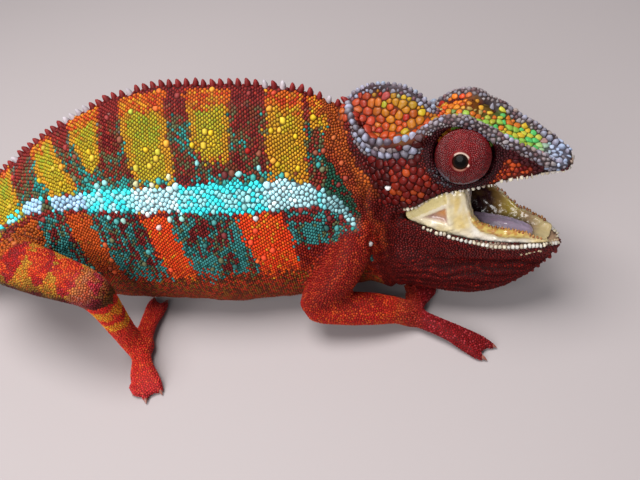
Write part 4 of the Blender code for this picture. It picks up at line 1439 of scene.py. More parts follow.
@dataclass
class Markings:
    """Every marking of the skin and its scales, from places on the body."""

    skin: Skin
    stripe_x: tuple[float, ...] = (10, 28, 40, 48, 56, 64, 75, 87, 98, 108, 112, 119, 127)
    stripe_v: tuple[float, ...] = (
        0.42, 0.34, 0.3, 0.33, 0.357, 0.378, 0.395, 0.394, 0.4, 0.395, 0.402, 0.442, 0.515,
    )
    stripe_half: tuple[float, ...] = (
        0.02, 0.025, 0.035, 0.033, 0.036, 0.05, 0.046, 0.058, 0.062, 0.058, 0.05, 0.042, 0.002,
    )

    def colour(self, points: Array, weights: Array, draw: Array) -> Array:
        """Colour of places on the skin.

        Args:
            points: places in mm.
            weights: share of each region at each place.
            draw: three random numbers for each place.

        Returns:
            Linear colours.
        """
        sharp = weights**4
        along, share, _ = self.skin.trunk.read(points)
        shoulder = (along > 116.5 + 3.0 * ripple(points, 8.0, 33)) & (share < 0.47)
        front = sharp[:, Region.TRUNK] * shoulder
        sharp[:, Region.NECK] += front
        sharp[:, Region.TRUNK] -= front
        steps = np.cumsum(sharp / sharp.sum(axis=1, keepdims=True), axis=1)
        chosen = (draw[:, 2:3] > steps).sum(axis=1).clip(0, len(Region) - 1)
        out = np.zeros((len(points), 3))
        for region in Region:
            mine = chosen == region
            if mine.any():
                out[mine] = getattr(self, f"_{region.name.lower()}")(points[mine], draw[mine])
        bright = (0.8 + 0.36 * draw[:, 1]) * np.where(out[:, 2] > 0.5, 1.0, 0.8)
        return clamp(out * bright[:, None])

    def _trunk(self, points: Array, draw: Array) -> Array:
        """Bars, stripe, speckle and belly.

        Args:
            points: places in mm.
            draw: three random numbers for each place.

        Returns:
            Linear colours.
        """
        along, share, side = self.skin.trunk.read(points)
        spots = points + np.where(side > 0, 37.0, 0.0)[:, None]
        coarse, fine = ripple(spots, 6.5, 11), ripple(spots, 2.6, 12)
        streak = ripple(spots * (1.0, 0.6, 0.4), 3.4, 14)
        rnd = draw[:, 0]
        lean = 0.5 + 0.1 * clamp((75 - along) / 30)
        clump = lean + 0.26 * coarse + 0.18 * streak + 0.32 * (rnd - 0.5) * 2
        out = pick(
            clump, 0.12, INK.wine, 0.18, INK.maroon, 0.24, INK.brown, 0.24, INK.moss, 0.08, INK.deep_teal,
            INK.teal,
        )
        upper = clamp((0.11 + 0.03 * fine - share) / 0.06)
        out = mix(out, pick(rnd, 0.6, INK.maroon, 0.25, INK.wine, (0.34, 0.05, 0.04)), upper)
        out = paint(out, (rnd * 7.3) % 1 < 0.14, (0.36, 0.03, 0.02))
        ridge = share < 0.055 + 0.02 * fine
        out[ridge] = pick(rnd[ridge], 0.75, INK.maroon, INK.wine)

        out = self._bars(out, along, share, rnd, fine, coarse)
        out = self._low_flank(out, spots, along, share, rnd, fine, coarse)
        return self._stripe(out, along, np.where((side > 0) & (along > 116), 0.1, share), rnd, fine)

    def _bars(self, out: Array, along: Array, share: Array, rnd: Array, fine: Array, coarse: Array) -> Array:
        """Yellow and green bars of the upper flank.

        Args:
            out: colours so far.
            along: distance along the back in mm.
            share: share of the way from spine to belly.
            rnd: a random number for each place.
            fine: fine uneven field.
            coarse: coarse uneven field.

        Returns:
            The new colours.
        """
        for band in BANDS:
            down = np.clip(share / band.reach, 0, 1.3)
            middle = band.top + (band.foot - band.top) * down
            half = band.half_top + (band.half_foot - band.half_top) * down
            edge = (half - np.abs(along - middle)) / 0.9 + 0.55 * fine
            foot = (band.reach - share) * 45 + 1.0 * fine
            inside = (edge > rnd - 0.5) & (foot > rnd - 0.5) & (share > 0.012)
            core = clamp((half - np.abs(along - middle)) / half)
            hue = 0.42 + 0.34 * coarse + 0.5 * (rnd - 0.5)
            body = pick(hue, 0.32, INK.leaf, 0.2, INK.lime, 0.28, INK.leaf, INK.yellow)
            body = mix(body, INK.yellow, 0.55 * between(down, 0.55, 1.5, 0.3))
            warm = paint(INK.amber, hue > 0.5, INK.yellow)
            body = mix(body, warm, np.full(len(along), band.warmth))
            body = mix(body, INK.amber, (core < 0.22 + 0.2 * rnd) * 0.75)
            crest = clamp((0.085 + 0.03 * fine - share) / 0.03)
            body = mix(body, pick(rnd, 0.55, INK.orange, 0.25, INK.vermilion, INK.amber), crest)
            hem = clamp((share - band.reach * 0.93) / (band.reach * 0.07))
            body = mix(body, INK.orange, hem * (rnd > 0.35) * 0.85)
            out = paint(out, inside, body * 0.86)
        return out

    def _low_flank(
        self, out: Array, spots: Array, along: Array, share: Array, rnd: Array, fine: Array, coarse: Array
    ) -> Array:
        """Orange fields between teal ones under the stripe, and the belly.

        Args:
            out: colours so far.
            spots: places in mm, shifted on the left flank.
            along: distance along the back in mm.
            share: share of the way from spine to belly.
            rnd: a random number for each place.
            fine: fine uneven field.
            coarse: coarse uneven field.

        Returns:
            The new colours.
        """
        under = np.interp(along, self.stripe_x, self.stripe_v) + 0.04
        below = share > under
        teal = pick(
            0.5 + 0.3 * ripple(spots * (1, 0.6, 0.35), 3.0, 15) + 0.5 * (rnd - 0.5), 0.24, INK.wine,
            0.12, INK.maroon, 0.1, INK.moss, 0.12, INK.deep_teal, (0.05, 0.3, 0.29),
        )
        out = paint(out, below, teal)
        slant = along - 9.0 * (share - under)
        for low, high, heat in LOW_FIELDS:
            edge = np.minimum(slant - low, high - slant) / 1.1 + 0.6 * fine
            inside = below & (edge > rnd - 0.5)
            hot = pick(rnd, 0.62, (0.95, 0.065, 0.01), 0.32, (0.95, 0.13, 0.012), INK.amber)
            dull = pick(rnd, 0.5, (0.4, 0.11, 0.012), 0.26, (0.52, 0.1, 0.01), (0.26, 0.04, 0.012))
            out = paint(out, inside, mix(dull, hot, np.full(len(along), heat)))
        rear = below & (slant < 33)
        out = paint(out, rear & (coarse + rnd > 0.45), pick(rnd, 0.5, INK.ochre, INK.brown))
        chest = below & (slant > 105) & (share > 0.63 + 0.03 * fine)
        red = pick(rnd, 0.55, (0.22, 0.007, 0.004), 0.3, (0.34, 0.02, 0.006), INK.maroon)
        out = paint(out, chest, red)
        gap = below & (slant > 104.5) & (share < 0.52) & (share > 0.475) & (fine > -0.1)
        out = paint(out, gap, INK.maroon)
        margin = below & (share < under + 0.03 + 0.012 * fine) & (rnd < 0.7)
        out = paint(out, margin, INK.maroon)
        sink = clamp((share - (0.7 + 0.03 * ripple(spots, 15.0, 13))) / 0.1)
        # Darker towards the bottom of the belly: painted shade on the underside.
        underside_shade = clamp((share - 0.86) / 0.1)
        belly = pick(rnd, 0.42, INK.vermilion, 0.33, INK.umber, INK.ochre)
        out = paint(out, below & (rnd * 0.999 < sink), belly * 0.8)
        return mix(out, (0.2, 0.03, 0.01), underside_shade * 0.7)

    def _stripe(self, out: Array, along: Array, share: Array, rnd: Array, fine: Array) -> Array:
        """Pale stripe along the flank.

        Args:
            out: colours so far.
            along: distance along the back in mm.
            share: share of the way from spine to belly.
            rnd: a random number for each place.
            fine: fine uneven field.

        Returns:
            The new colours.
        """
        middle = np.interp(along, self.stripe_x, self.stripe_v)
        half = np.interp(along, self.stripe_x, self.stripe_half)
        off = np.abs(share - middle)
        inside = off < half + 0.007 * fine + 0.004 * (rnd - 0.5)
        rim = off > half * 0.55
        cyan = pick(rnd, 0.7, INK.cyan, 0.18, (0.1, 0.84, 0.9), (0.03, 0.62, 0.7))
        heart = ~rim & (fine + rnd > 0.15)
        cyan = paint(cyan, heart, (0.3, 0.78, 0.82))
        white = pick(rnd, 0.7, INK.ice, 0.2, (0.7, 0.9, 0.92), (0.4, 0.84, 0.9))
        blocks = between(along, 70.0, 81.3, 1.2) + between(along, 102.3, 113.0, 1.2)
        blocks = blocks + between(along, 59.5, 66.0, 1.5) * 0.35
        colour = paint(cyan, blocks + 0.25 * fine > 0.35 + 0.3 * rnd, white)
        lilac = between(along, 38.0, 43.5, 1) + between(along, 47.3, 57.0, 1)
        colour = paint(colour, lilac > 0.5, mix(white, (0.32, 0.52, 0.8), np.full(len(along), 0.7)))
        tail_end = clamp((along - 111.0) / 5.0)
        pale = pick(rnd, 0.6, (0.2, 0.44, 0.48), (0.28, 0.52, 0.55))
        colour = mix(colour, pale, tail_end)
        broken = (between(along, 44.0, 46.6, 0.8) + (along < 37.5) * (rnd > 0.35)) > 0.5
        inside = inside & ~broken
        halo = (off < half + 0.035) & ~inside & (share < middle) & (along > 56) & (along < 108)
        halo &= rnd + 0.3 * fine > 0.55
        out = paint(out, halo, np.array(INK.teal) * 1.25)
        return paint(out, inside, colour)

    def _tail(self, points: Array, draw: Array) -> Array:
        """Rings of the tail, green and orange over dull red.

        Args:
            points: places in mm.
            draw: three random numbers for each place.

        Returns:
            Linear colours.
        """
        along, _ = self.skin.tail.read(points)
        rnd = draw[:, 0]
        fine, coarse = ripple(points, 3.0, 21), ripple(points, 9.0, 22)
        beat = np.sin((along + 1.5 * fine) * 2 * math.pi / (17.0 - 0.02 * along))
        out = pick(
            0.5 + 0.3 * coarse + 0.5 * (rnd - 0.5), 0.36, INK.maroon, 0.26, INK.brown, 0.18, INK.deep_teal,
            INK.teal,
        )
        bright = pick(rnd, 0.34, INK.orange, 0.22, INK.ochre, 0.2, INK.leaf, INK.vermilion)
        out = paint(out, beat + 0.35 * (rnd - 0.5) > 0.1, bright)
        middle = np.interp(along, self.skin.tail.stops(), self.skin.tail.line[:, 2])
        low = points[:, 2] < middle - 0.35 * np.interp(along, [0, 236], [9.2, 1.1])
        under = pick(rnd, 0.5, INK.vermilion, 0.3, INK.umber, INK.red)
        return paint(out, low, under)

    def _neck(self, points: Array, draw: Array) -> Array:
        """Rusty folds, lighter on their crests and darker in their troughs as painted light and shade, with a
        dark green streak and the end of the stripe.

        Args:
            points: places in mm.
            draw: three random numbers for each place.

        Returns:
            Linear colours.
        """
        rnd = draw[:, 0]
        # Brighter on the fold crests and darker in the troughs: painted light and shade of the neck's folds.
        out = pick(
            0.5 - 0.3 * neck_folds(points) + 0.6 * (rnd - 0.5), 0.34, (0.42, 0.065, 0.012),
            0.3, (0.28, 0.03, 0.01), (0.13, 0.01, 0.006),
        )
        along, share, side = self.skin.trunk.read(points)
        fine = ripple(points, 3.0, 31)
        high = clamp((0.24 - share) / 0.1)
        out = mix(out, pick(rnd, 0.5, (0.55, 0.13, 0.015), (0.4, 0.08, 0.012)), high * 0.7)
        low = share > 0.46 + 0.03 * fine
        red = pick(rnd, 0.45, INK.red, 0.4, INK.crimson, (0.34, 0.02, 0.01))
        out = paint(out, low, red)
        out = mix(out, INK.crimson, clamp((along - 121.0) / 5.0) * clamp((share - 0.2) / 0.1) * 0.85)
        out = mix(out, INK.crimson, clamp((share - 0.28 - 0.02 * fine) / 0.08) * (share < 0.47) * 0.8)
        wedge = (share > 0.25 + 0.016 * (along - 117) + 0.015 * fine) & (share < 0.41 + 0.01 * (along - 119))
        wedge &= (along < 125.5) & (along > 115) & (rnd < 0.9)
        out = paint(out, wedge, (0.012, 0.085, 0.05))
        low_green = (np.abs(share - 0.56) < 0.03 + 0.006 * fine) & (along < 121.5) & (points[:, 2] > 27)
        out = paint(out, low_green, (0.012, 0.16, 0.11))
        head = SKULL.inward(points)
        under = clamp((7.0 - head[:, 2]) / 5.0) * clamp((head[:, 0] + 17.0) / 5.0)
        edge = 129.5 - 0.042 * (points[:, 2] - 24.0) ** 2 - points[:, 0] + 1.2 * fine
        under = under * clamp(1.0 - edge / 2.5)
        near = clamp(edge / 2.5) * between(points[:, 2], 12.0, 31.5, 3.0) * (points[:, 0] > 113)
        out = mix(
            out, pick(rnd, 0.5, (0.36, 0.022, 0.008), 0.3, (0.26, 0.012, 0.006), (0.5, 0.06, 0.012)), near
        )
        # Near black low on the neck under the head: painted shade.
        out = mix(out, pick(rnd, 0.6, (0.1, 0.004, 0.003), (0.15, 0.008, 0.005)), under)
        away = (side > 0) | (points[:, 2] < 26)
        return self._stripe(out, along, np.where(away, 0.1, share), rnd, fine)

    def _throat(self, points: Array, draw: Array) -> Array:
        """Deep crimson pouch, its darkness partly painted shade, with finer lines of painted light on the
        fold crests and painted shade in the troughs.
        """
        # These dark crimsons are partly the pouch's own colour and partly painted shade.
        out = pick(draw[:, 0], 0.55, (0.11, 0.003, 0.003), 0.3, (0.08, 0.003, 0.003), (0.2, 0.01, 0.006))
        # Brighter on the fold crests and darker in the troughs: painted light and shade.
        return out * (0.85 + 0.35 * throat_folds(points))[:, None]

    def _jaw(self, points: Array, draw: Array) -> Array:
        """Lower jaw: dark red, paler at the lip.

        Args:
            points: places in mm.
            draw: three random numbers for each place.

        Returns:
            Linear colours.
        """
        head = SKULL.inward(points)
        out = pick(draw[:, 0], 0.5, (0.12, 0.004, 0.004), 0.3, (0.18, 0.008, 0.006), (0.08, 0.004, 0.004))
        lip = np.interp(head[:, 0], (16, 22, 27, 30, 30.8), (8.6, 7.6, 6.0, 2.8, 0.2))
        bowl = (head[:, 0] > 22) & (np.abs(head[:, 1]) < lip - 1.3) & (head[:, 2] > -17.5)
        out = mix(out, (0.8, 0.64, 0.42), bowl * 1.0)
        return self._lipped(out, points, "lower_lip", 1.25)

    def _lipped(self, out: Array, points: Array, row: str, reach: float) -> Array:
        """Cream skin along a lip."""
        return mix(out, (0.66, 0.58, 0.44), clamp((reach - row_gap(points, row)) / 0.5))

    def _head(self, points: Array, draw: Array) -> Array:
        """Plated casque, green brow, dark cheeks that are partly painted shade, and snout.

        Args:
            points: places in mm.
            draw: three random numbers for each place.

        Returns:
            Linear colours.
        """
        head = SKULL.inward(points)
        ahead, half, up = head[:, 0], np.abs(head[:, 1]), head[:, 2]
        rnd = draw[:, 0]
        coarse = ripple(points, 7.0, 51)
        crest = crest_height(ahead)
        # The cheek's dark reds are partly its own colour and partly painted shade.
        cheek = pick(rnd, 0.34, (0.13, 0.005, 0.004), 0.36, (0.09, 0.004, 0.003), (0.06, 0.003, 0.003))
        plates = (ahead > -7) & (ahead < 6) & (up > 1) & (up < 10.5) & (half > 6)
        patch = ((ahead - 0.5) / 5.5) ** 2 + ((up - 6.0) / 4.6) ** 2
        hot = pick(rnd, 0.4, (0.26, 0.018, 0.006), 0.4, (0.15, 0.007, 0.004), (0.36, 0.05, 0.008))
        cheek = paint(cheek, plates & (patch < 1.0 + 0.25 * coarse), hot)
        lores = (ahead > 14) & (ahead < 27) & (up < crest - 4.0)
        ember = pick(rnd, 0.45, (0.52, 0.07, 0.012), 0.35, (0.3, 0.028, 0.01), INK.crimson)
        cheek = paint(cheek, lores, ember)
        groove = (ahead > 15) & ((up >= crest - 4.0) | (ahead > 27))
        cheek = paint(cheek, groove, (0.075, 0.008, 0.012))
        tip = (ahead > 29.5) & (up > 4.2)
        cheek = paint(cheek, tip, pick(rnd, 0.6, (0.3, 0.37, 0.52), INK.ash))

        for side in (-1, 1):
            reach, depth = TurretAxes(side).read(points)
            socket = (reach < 8.6) & (depth > -6.0)
            cheek = paint(cheek, socket, (0.06, 0.006, 0.01))
            stain = socket & (ahead < 9.0 + 1.5 * coarse) & (up < 9.5) & (rnd < 0.5)
            cheek = paint(cheek, stain, (0.085, 0.075, 0.09))

        casque = pick(
            rnd + 0.12 * coarse, 0.4, (0.42, 0.06, 0.008), 0.28, (0.46, 0.15, 0.01),
            0.08, (0.5, 0.34, 0.02), 0.08, (0.34, 0.34, 0.02), (0.34, 0.02, 0.01),
        )
        rear = clamp((-4.5 - ahead + 1.5 * coarse) / 5.0)
        casque = mix(casque, (0.36, 0.035, 0.02), rear * 0.85)
        high = clamp((up - 20.0 + 0.5 * ahead) / 4.0) * clamp((ahead + 6) / 5)
        casque = mix(casque, pick(rnd, 0.4, INK.lime, 0.35, INK.leaf, (0.3, 0.36, 0.4)), high * 0.85)
        crown = row_gap(points, "parietal") < 1.5
        casque = paint(casque, crown, pick(rnd, 0.4, INK.ash, 0.3, INK.lilac, (0.18, 0.08, 0.1)))
        brow = pick(
            rnd + 0.1 * coarse, 0.28, (0.5, 0.52, 0.05), 0.26, (0.28, 0.52, 0.07),
            0.22, (0.1, 0.52, 0.14), 0.12, (0.66, 0.44, 0.03), (0.6, 0.17, 0.02),
        )
        far = clamp((head[:, 1] - 1.0) / 2.0) * clamp((20 - ahead) / 8)
        warm = np.maximum(clamp((10.5 - ahead) / 2.5), far)
        brow = mix(brow, pick(rnd, 0.6, INK.orange, INK.vermilion), warm * 0.9)
        tip = clamp((ahead - 27.0) / 3.0)
        brow = mix(brow, (0.34, 0.4, 0.54), tip)
        top = paint(brow, ahead < 7.0, casque)
        out = paint(cheek, on_roof(head), top)
        rims = (("brow", 1.5), ("lateral_low", 1.6), ("lateral", 1.1))
        ridge = np.logical_or.reduce([row_gap(points, name) < reach for name, reach in rims])
        grey = pick(
            rnd, 0.35, (0.23, 0.19, 0.2), 0.3, INK.ash, 0.2, (0.3, 0.27, 0.28), (0.14, 0.08, 0.09),
        )
        out = paint(out, ridge, grey)
        out = self._lipped(out, points, "upper_lip", 0.8)
        nape = ahead < -12.5
        return paint(out, nape & (up < 20.5), np.array(INK.maroon) * 0.7)

    def _arm(self, points: Array, draw: Array) -> Array:
        """Red upper arm, darker partly as painted shade, and warmer forearm.

        Args:
            points: places in mm.
            draw: three random numbers for each place.

        Returns:
            Linear colours.
        """
        rnd = draw[:, 0]
        fine = ripple(points, 3.0, 61)
        # The upper arm's darker reds are partly its own colour and partly painted shade.
        upper = pick(rnd, 0.5, (0.25, 0.008, 0.004), 0.3, (0.32, 0.018, 0.006), (0.42, 0.042, 0.01))
        lower = pick(rnd, 0.45, (0.46, 0.012, 0.008), 0.35, (0.56, 0.035, 0.01), (0.66, 0.09, 0.013))
        down = clamp((14.5 - points[:, 2] + 1.5 * fine) / 5.0)
        return mix(upper, lower, down)

    def _hand(self, points: Array, draw: Array) -> Array:
        """Crimson hand with rosy scale tips.

        Args:
            points: places in mm.
            draw: three random numbers for each place.

        Returns:
            Linear colours.
        """
        rnd = draw[:, 0]
        out = pick(rnd, 0.45, (0.2, 0.003, 0.005), 0.35, (0.28, 0.006, 0.01), (0.4, 0.03, 0.04))
        back = clamp((points[:, 0] - 130) / 8.0)
        warm = pick(rnd, 0.5, (0.48, 0.03, 0.012), (0.6, 0.1, 0.015))
        return mix(out, warm, (1 - back) * 0.8)

    def _leg(self, points: Array, draw: Array) -> Array:
        """Thigh and shin: orange and ochre bars on red, lighter on top and darker underneath as painted light
        and shade, with a painted rosy highlight at the knee.

        Args:
            points: places in mm.
            draw: three random numbers for each place.

        Returns:
            Linear colours.
        """
        rnd = draw[:, 0]
        fine = ripple(points, 3.2, 71)
        right = points[:, 1] < -39
        axis = np.where(right, np.interp(points[:, 0], (23, 30, 45, 58), (27, 29, 30.6, 29.6)), 26.0)
        over = points[:, 2] - axis - 2.2 + 0.9 * fine
        beat = np.sin((points[:, 0] - 0.5 * over + 1.4 * fine) * 0.78)
        hot = pick(rnd, 0.45, INK.vermilion, 0.3, (0.66, 0.1, 0.015), INK.red)
        dark = pick(rnd, 0.5, INK.red, 0.3, INK.maroon, (0.4, 0.02, 0.03))
        olive = pick(rnd, 0.4, (0.52, 0.25, 0.02), 0.3, (0.6, 0.16, 0.015), (0.4, 0.2, 0.02))
        ring = np.sin((points[:, 0] + 0.4 * over + 1.0 * fine) * 0.62 + 0.8)
        out = paint(dark, (over > 0.8 - 0.8 * beat) & (ring < 0.72 - 0.12 * over), hot)
        bars = (over < 1.2 + 2.4 * beat) & (over > -6.0)
        out = paint(out, bars, olive)
        out = paint(out, over < -2.5, mix(dark, olive, 0.45 + 0.5 * beat))
        # Darker towards the underside of the thigh and brighter on top: painted shade and painted light.
        out = out * (1.12 - 0.86 * clamp((0.8 - over) / 3.6))[:, None]
        # Rosy patch at each knee: a painted highlight.
        for knee in ((57.9, -70.2, 29.5), (53.5, -12.3, 27.0)):
            gap = np.linalg.norm(points - np.array(knee), axis=1)
            knee_highlight = pick(rnd, 0.5, (0.62, 0.05, 0.1), 0.3, (0.56, 0.03, 0.05), (0.6, 0.09, 0.16))
            out = mix(out, knee_highlight, clamp((5.4 - gap) / 2.4) * 0.9)
        level = points[:, 2] + 0.7 * fine
        shin = (points[:, 0] > np.where(right, 51.0, 42.5)) & (level < np.where(right, 26.0, 21.5))
        bar = between(level, 20.6, 23.6, 0.8) + between(level, 15.0, 18.0, 0.8)
        bright = pick(rnd, 0.5, (0.9, 0.34, 0.02), 0.3, (0.9, 0.2, 0.015), (0.95, 0.5, 0.03))
        low = mix(pick(rnd, 0.6, (0.78, 0.022, 0.014), (0.86, 0.05, 0.018)), bright, bar)
        low = paint(low, level < 14.0, self._foot(points, draw))
        return paint(out, shin, low)

    def _foot(self, points: Array, draw: Array) -> Array:
        """Red foot.

        Args:
            points: places in mm.
            draw: three random numbers for each place.

        Returns:
            Linear colours.
        """
        rnd = draw[:, 0]
        out = pick(rnd, 0.45, (0.8, 0.045, 0.022), 0.35, (0.7, 0.03, 0.02), (0.88, 0.11, 0.03))
        return mix(out, (0.46, 0.03, 0.05), clamp((4.5 - points[:, 2]) / 3.0) * 0.6)


# Coat of scales


@dataclass(frozen=True)
class Profile:
    """Cross-section of a kind of scale: rings as shares of its reach and height."""

    sides: int
    rings: tuple[tuple[float, float], ...]
    rake: float = 0.0


PROFILES = {
    Kind.BEAD: Profile(6, ((1.0, -0.3), (0.82, 0.62))),
    Kind.PLATE: Profile(9, ((1.0, -0.5), (0.95, 0.5), (0.74, 0.92))),
    Kind.KNOB: Profile(8, ((1.0, -0.4), (0.88, 0.42), (0.54, 0.88))),
    Kind.CONE: Profile(7, ((1.0, -0.25), (0.8, 0.38), (0.44, 0.82)), rake=0.22),
}


@dataclass
class Roots:
    """Where scales stand and how they are shaped."""

    place: Array
    way: Array
    spacing: Array
    stretch: Array
    height: Array
    kind: Array
    colour: Array
    fixed: Array
    face: Array | None = None
    normal: Array | None = None

    def __len__(self) -> int:
        """Number of scales."""
        return len(self.place)


@dataclass
class Coat:
    """All the scales that stand on the skin."""

    skin: Skin
    markings: Markings
    keep_out: list[BVHTree]
    trial_share: float = 6.5
    crowding: float = 0.42
    relax_rounds: int = 6
    relax_step: float = 0.3
    groove: float = 0.03
    tail_stops: tuple[float, ...] = (0, 120, 236)
    tail_sizes: tuple[float, ...] = (0.86, 0.76, 0.6)
    tail_pull: float = 1.25
    seed: int = 7
    piece_scales: int = 9500
    tree: BVHTree | None = None
    plain_sizes: dict[Region, float] = field(
        default_factory=lambda: {
            Region.JAW: 0.62,
            Region.THROAT: 0.56,
            Region.NECK: 0.6,
            Region.ARM: 0.56,
            Region.HAND: 0.55,
            Region.LEG: 0.53,
            Region.FOOT: 0.52,
        }
    )

    def build(self) -> list[bpy.types.Object]:
        """Lay out, shape, colour and join the scales."""
        self.tree = surface_tree(self.skin.item)
        flat = self.skin.unwrap()
        fixed = self._fixed_roots()
        roots = self._scatter(fixed)
        LOG.info("coat: %d scales laid out", len(roots))
        self._relax(roots)
        self._settle(roots)
        self._tint(roots)
        return self._pieces(roots, flat)

    def _spacing(self, points: Array, weights: Array) -> tuple[Array, Array]:
        """Spacing in mm, and how much taller than wide scales are, at places.

        Args:
            points: places in mm.
            weights: share of each region.

        Returns:
            Spacing and stretch.
        """
        along, share, _ = self.skin.trunk.read(points)
        size, pull = self._flank_spacing(along, share)
        distance, _ = self.skin.tail.read(points)
        spacing = weights[:, Region.TRUNK] * size
        spacing += weights[:, Region.TAIL] * np.interp(distance, self.tail_stops, self.tail_sizes)
        spacing += weights[:, Region.HEAD] * self._head_spacing(SKULL.inward(points))
        for region, plain in self.plain_sizes.items():
            spacing += weights[:, region.value] * plain
        stretch = 1 + weights[:, Region.TRUNK] * (pull - 1)
        stretch += weights[:, Region.TAIL] * (self.tail_pull - 1)
        stretch += weights[:, Region.NECK] * 0.25
        return spacing / weights.sum(axis=1), stretch

    def _flank_spacing(self, along: Array, share: Array) -> tuple[Array, Array]:
        """Spacing and stretch of the trunk's scales, larger on the stripe and finer on the belly.

        Args:
            along: distance along the back in mm.
            share: share of the way from spine to belly.

        Returns:
            Spacing and stretch.
        """
        middle = np.interp(along, self.markings.stripe_x, self.markings.stripe_v)
        half = np.interp(along, self.markings.stripe_x, self.markings.stripe_half)
        on_stripe = np.abs(share - middle) < half + 0.004
        size = np.interp(along, (20, 110, 114, 119), (0.74, 0.8, 0.74, 0.58))
        size = np.where(share > 0.8, size * 0.92, size)
        size = np.where(on_stripe, 1.04, size)
        pull = np.where(on_stripe, 1.7, np.interp(along, (20, 110), (1.48, 1.37)))
        return size, pull

    def _in_rows(
        self, place: Array, weight: Array, way: Array, normal: Array, jitter: Array
    ) -> tuple[Array, Array]:
        """Move trial places of trunk and tail to the nearest crossing of their rows.

        Args:
            place: places in mm.
            weight: share of each region.
            way: direction of the rows there.
            normal: upright direction there.
            jitter: small random shifts.

        Returns:
            The new places, and which of them lie in rows.
        """
        sizes, pulls = self._flank_spacing(*self.skin.trunk.grid())
        column, level = self.skin.trunk.rows(place, sizes, pulls)
        rings = np.interp(np.linspace(0, 236, 60), self.tail_stops, self.tail_sizes)
        ring, round_it = self.skin.tail.rows(place, rings, self.tail_pull)
        tail = weight[:, Region.TAIL] > 0.7
        _, share, _ = self.skin.trunk.read(place)
        sure = tail | ((weight[:, Region.TRUNK] > 0.7) & (share < 0.94))
        column, level = np.where(tail, ring, column), np.where(tail, round_it, level)
        size, pull = self._spacing(place, weight)
        wide, tall = HEX * size / np.sqrt(pull), size * np.sqrt(pull)
        near = np.round(column)
        shift = 0.5 * (near % 2)
        off_x = (near - column + jitter[:, 0]) * wide
        off_y = (np.round(level - shift) + shift - level + jitter[:, 1]) * tall
        move = way * off_x[:, None] + np.cross(normal, way) * off_y[:, None]
        return np.where(sure[:, None], place + move, place), sure

    def _head_spacing(self, head: Array) -> Array:
        """Spacing of the scales of the head, from places in its own axes.

        Args:
            head: places in the head's own axes.

        Returns:
            Spacing in mm.
        """
        ahead, up = head[:, 0], head[:, 2]
        crest, roof = crest_height(ahead), on_roof(head)
        spacing = np.full(len(head), 0.9)
        spacing[roof & (ahead < 7)] = 1.62
        spacing[roof & (ahead >= 7)] = 1.3
        spacing[~roof & (ahead < 7) & (ahead > -8) & (up > 0.5)] = 1.55
        spacing[~roof & (ahead > 18) & (up > 3)] = 0.98
        spacing[row_gap(SKULL.outward(head)) < 1.5] = 0.9
        for side in (-1, 1):
            reach, _ = TurretAxes(side).read(SKULL.outward(head))
            mine = (head[:, 1] * side > 0) & (reach < 9.6) & (up < crest + 1) & ~roof
            spacing[mine] = 0.56
        spacing[roof & (row_gap(SKULL.outward(head), "parietal") < 2.4)] = 0.95
        spacing[(ahead < -11) & (up < crest)] = 0.85
        return spacing

    def _fixed_roots(self) -> Roots:
        """Bead rows, crest cones and the largest tubercles, which stay where they are put."""
        rows = []
        draw = np.random.default_rng(3)
        for row in BEAD_ROWS:
            for side in row.sides:
                for spot, size, run in zip(*row.places(side)):
                    wide = size * draw.uniform(0.92, 1.06)
                    tint = row.tints[int(draw.integers(len(row.tints)))]
                    rows.append((spot, run, wide, row.height, Kind.KNOB, tint))
        for spot, run, size, tall, tint in self._crest_spots(draw):
            rows.append((spot, run, size, tall, Kind.CONE, tint))
        for spot, tint in self._tubercles():
            rows.append((spot, (1.0, 0, 0), draw.uniform(1.3, 1.6), 0.42, Kind.KNOB, tint))
        place, way, spacing, height, kind, tints = (np.array(column) for column in zip(*rows))
        place = np.array([self.tree.find_nearest(spot)[0][:] for spot in place.tolist()])
        ones = np.ones(len(rows))
        return Roots(place, way, spacing, ones, height, kind, tints, ones > 0)

    def _crest_spots(self, draw: np.random.Generator) -> list:
        """Cones of the back and of the throat's keel.

        Args:
            draw: source of random numbers.

        Returns:
            Place, direction, spacing, height and colour of each cone.
        """
        rows = []
        lean = self.skin.trunk.lean
        up = Vector((0.0, math.sin(lean), math.cos(lean)))
        for along in np.arange(9.0, 122.0, 2.05):
            top, _, middle = self.skin.trunk.profile(along)
            best = None
            for shift in np.linspace(-5, 5, 21):
                across = middle + shift
                start = Vector((along, 0, 0)) + up * (top + 8)
                start += Vector((0, math.cos(lean), -math.sin(lean))) * across
                hit = self.tree.ray_cast(start, -up, 20)
                if hit[0] is not None:
                    level = hit[0].dot(up)
                    if best is None or level > best[0]:
                        best = (level, hit[0])
            if best is None:
                continue
            tint = (0.46, 0.42, 0.46) if draw.random() < 0.16 else (0.24, 0.02, 0.02)
            tall = 0.8 * math.sin(math.pi * min(1.0, (along - 4) / 30) / 2)
            rows.append((np.array(best[1]), np.array([-1.0, 0, 0]), 1.95, max(0.5, tall), tint))
        for ahead in np.linspace(12.5, 28.0, 12):
            start = Vector(SKULL.outward((ahead, 0.0, -42.0)))
            hit = self.tree.ray_cast(start, Vector(SKULL.way((0.05, 0, 1.0))), 40)
            if hit[0] is not None and hit[0].z > 2.4:
                run = SKULL.way((-1.0, 0, 0))
                rows.append((np.array(hit[0]), run, 1.8, 0.72, (0.2, 0.014, 0.012)))
        return rows

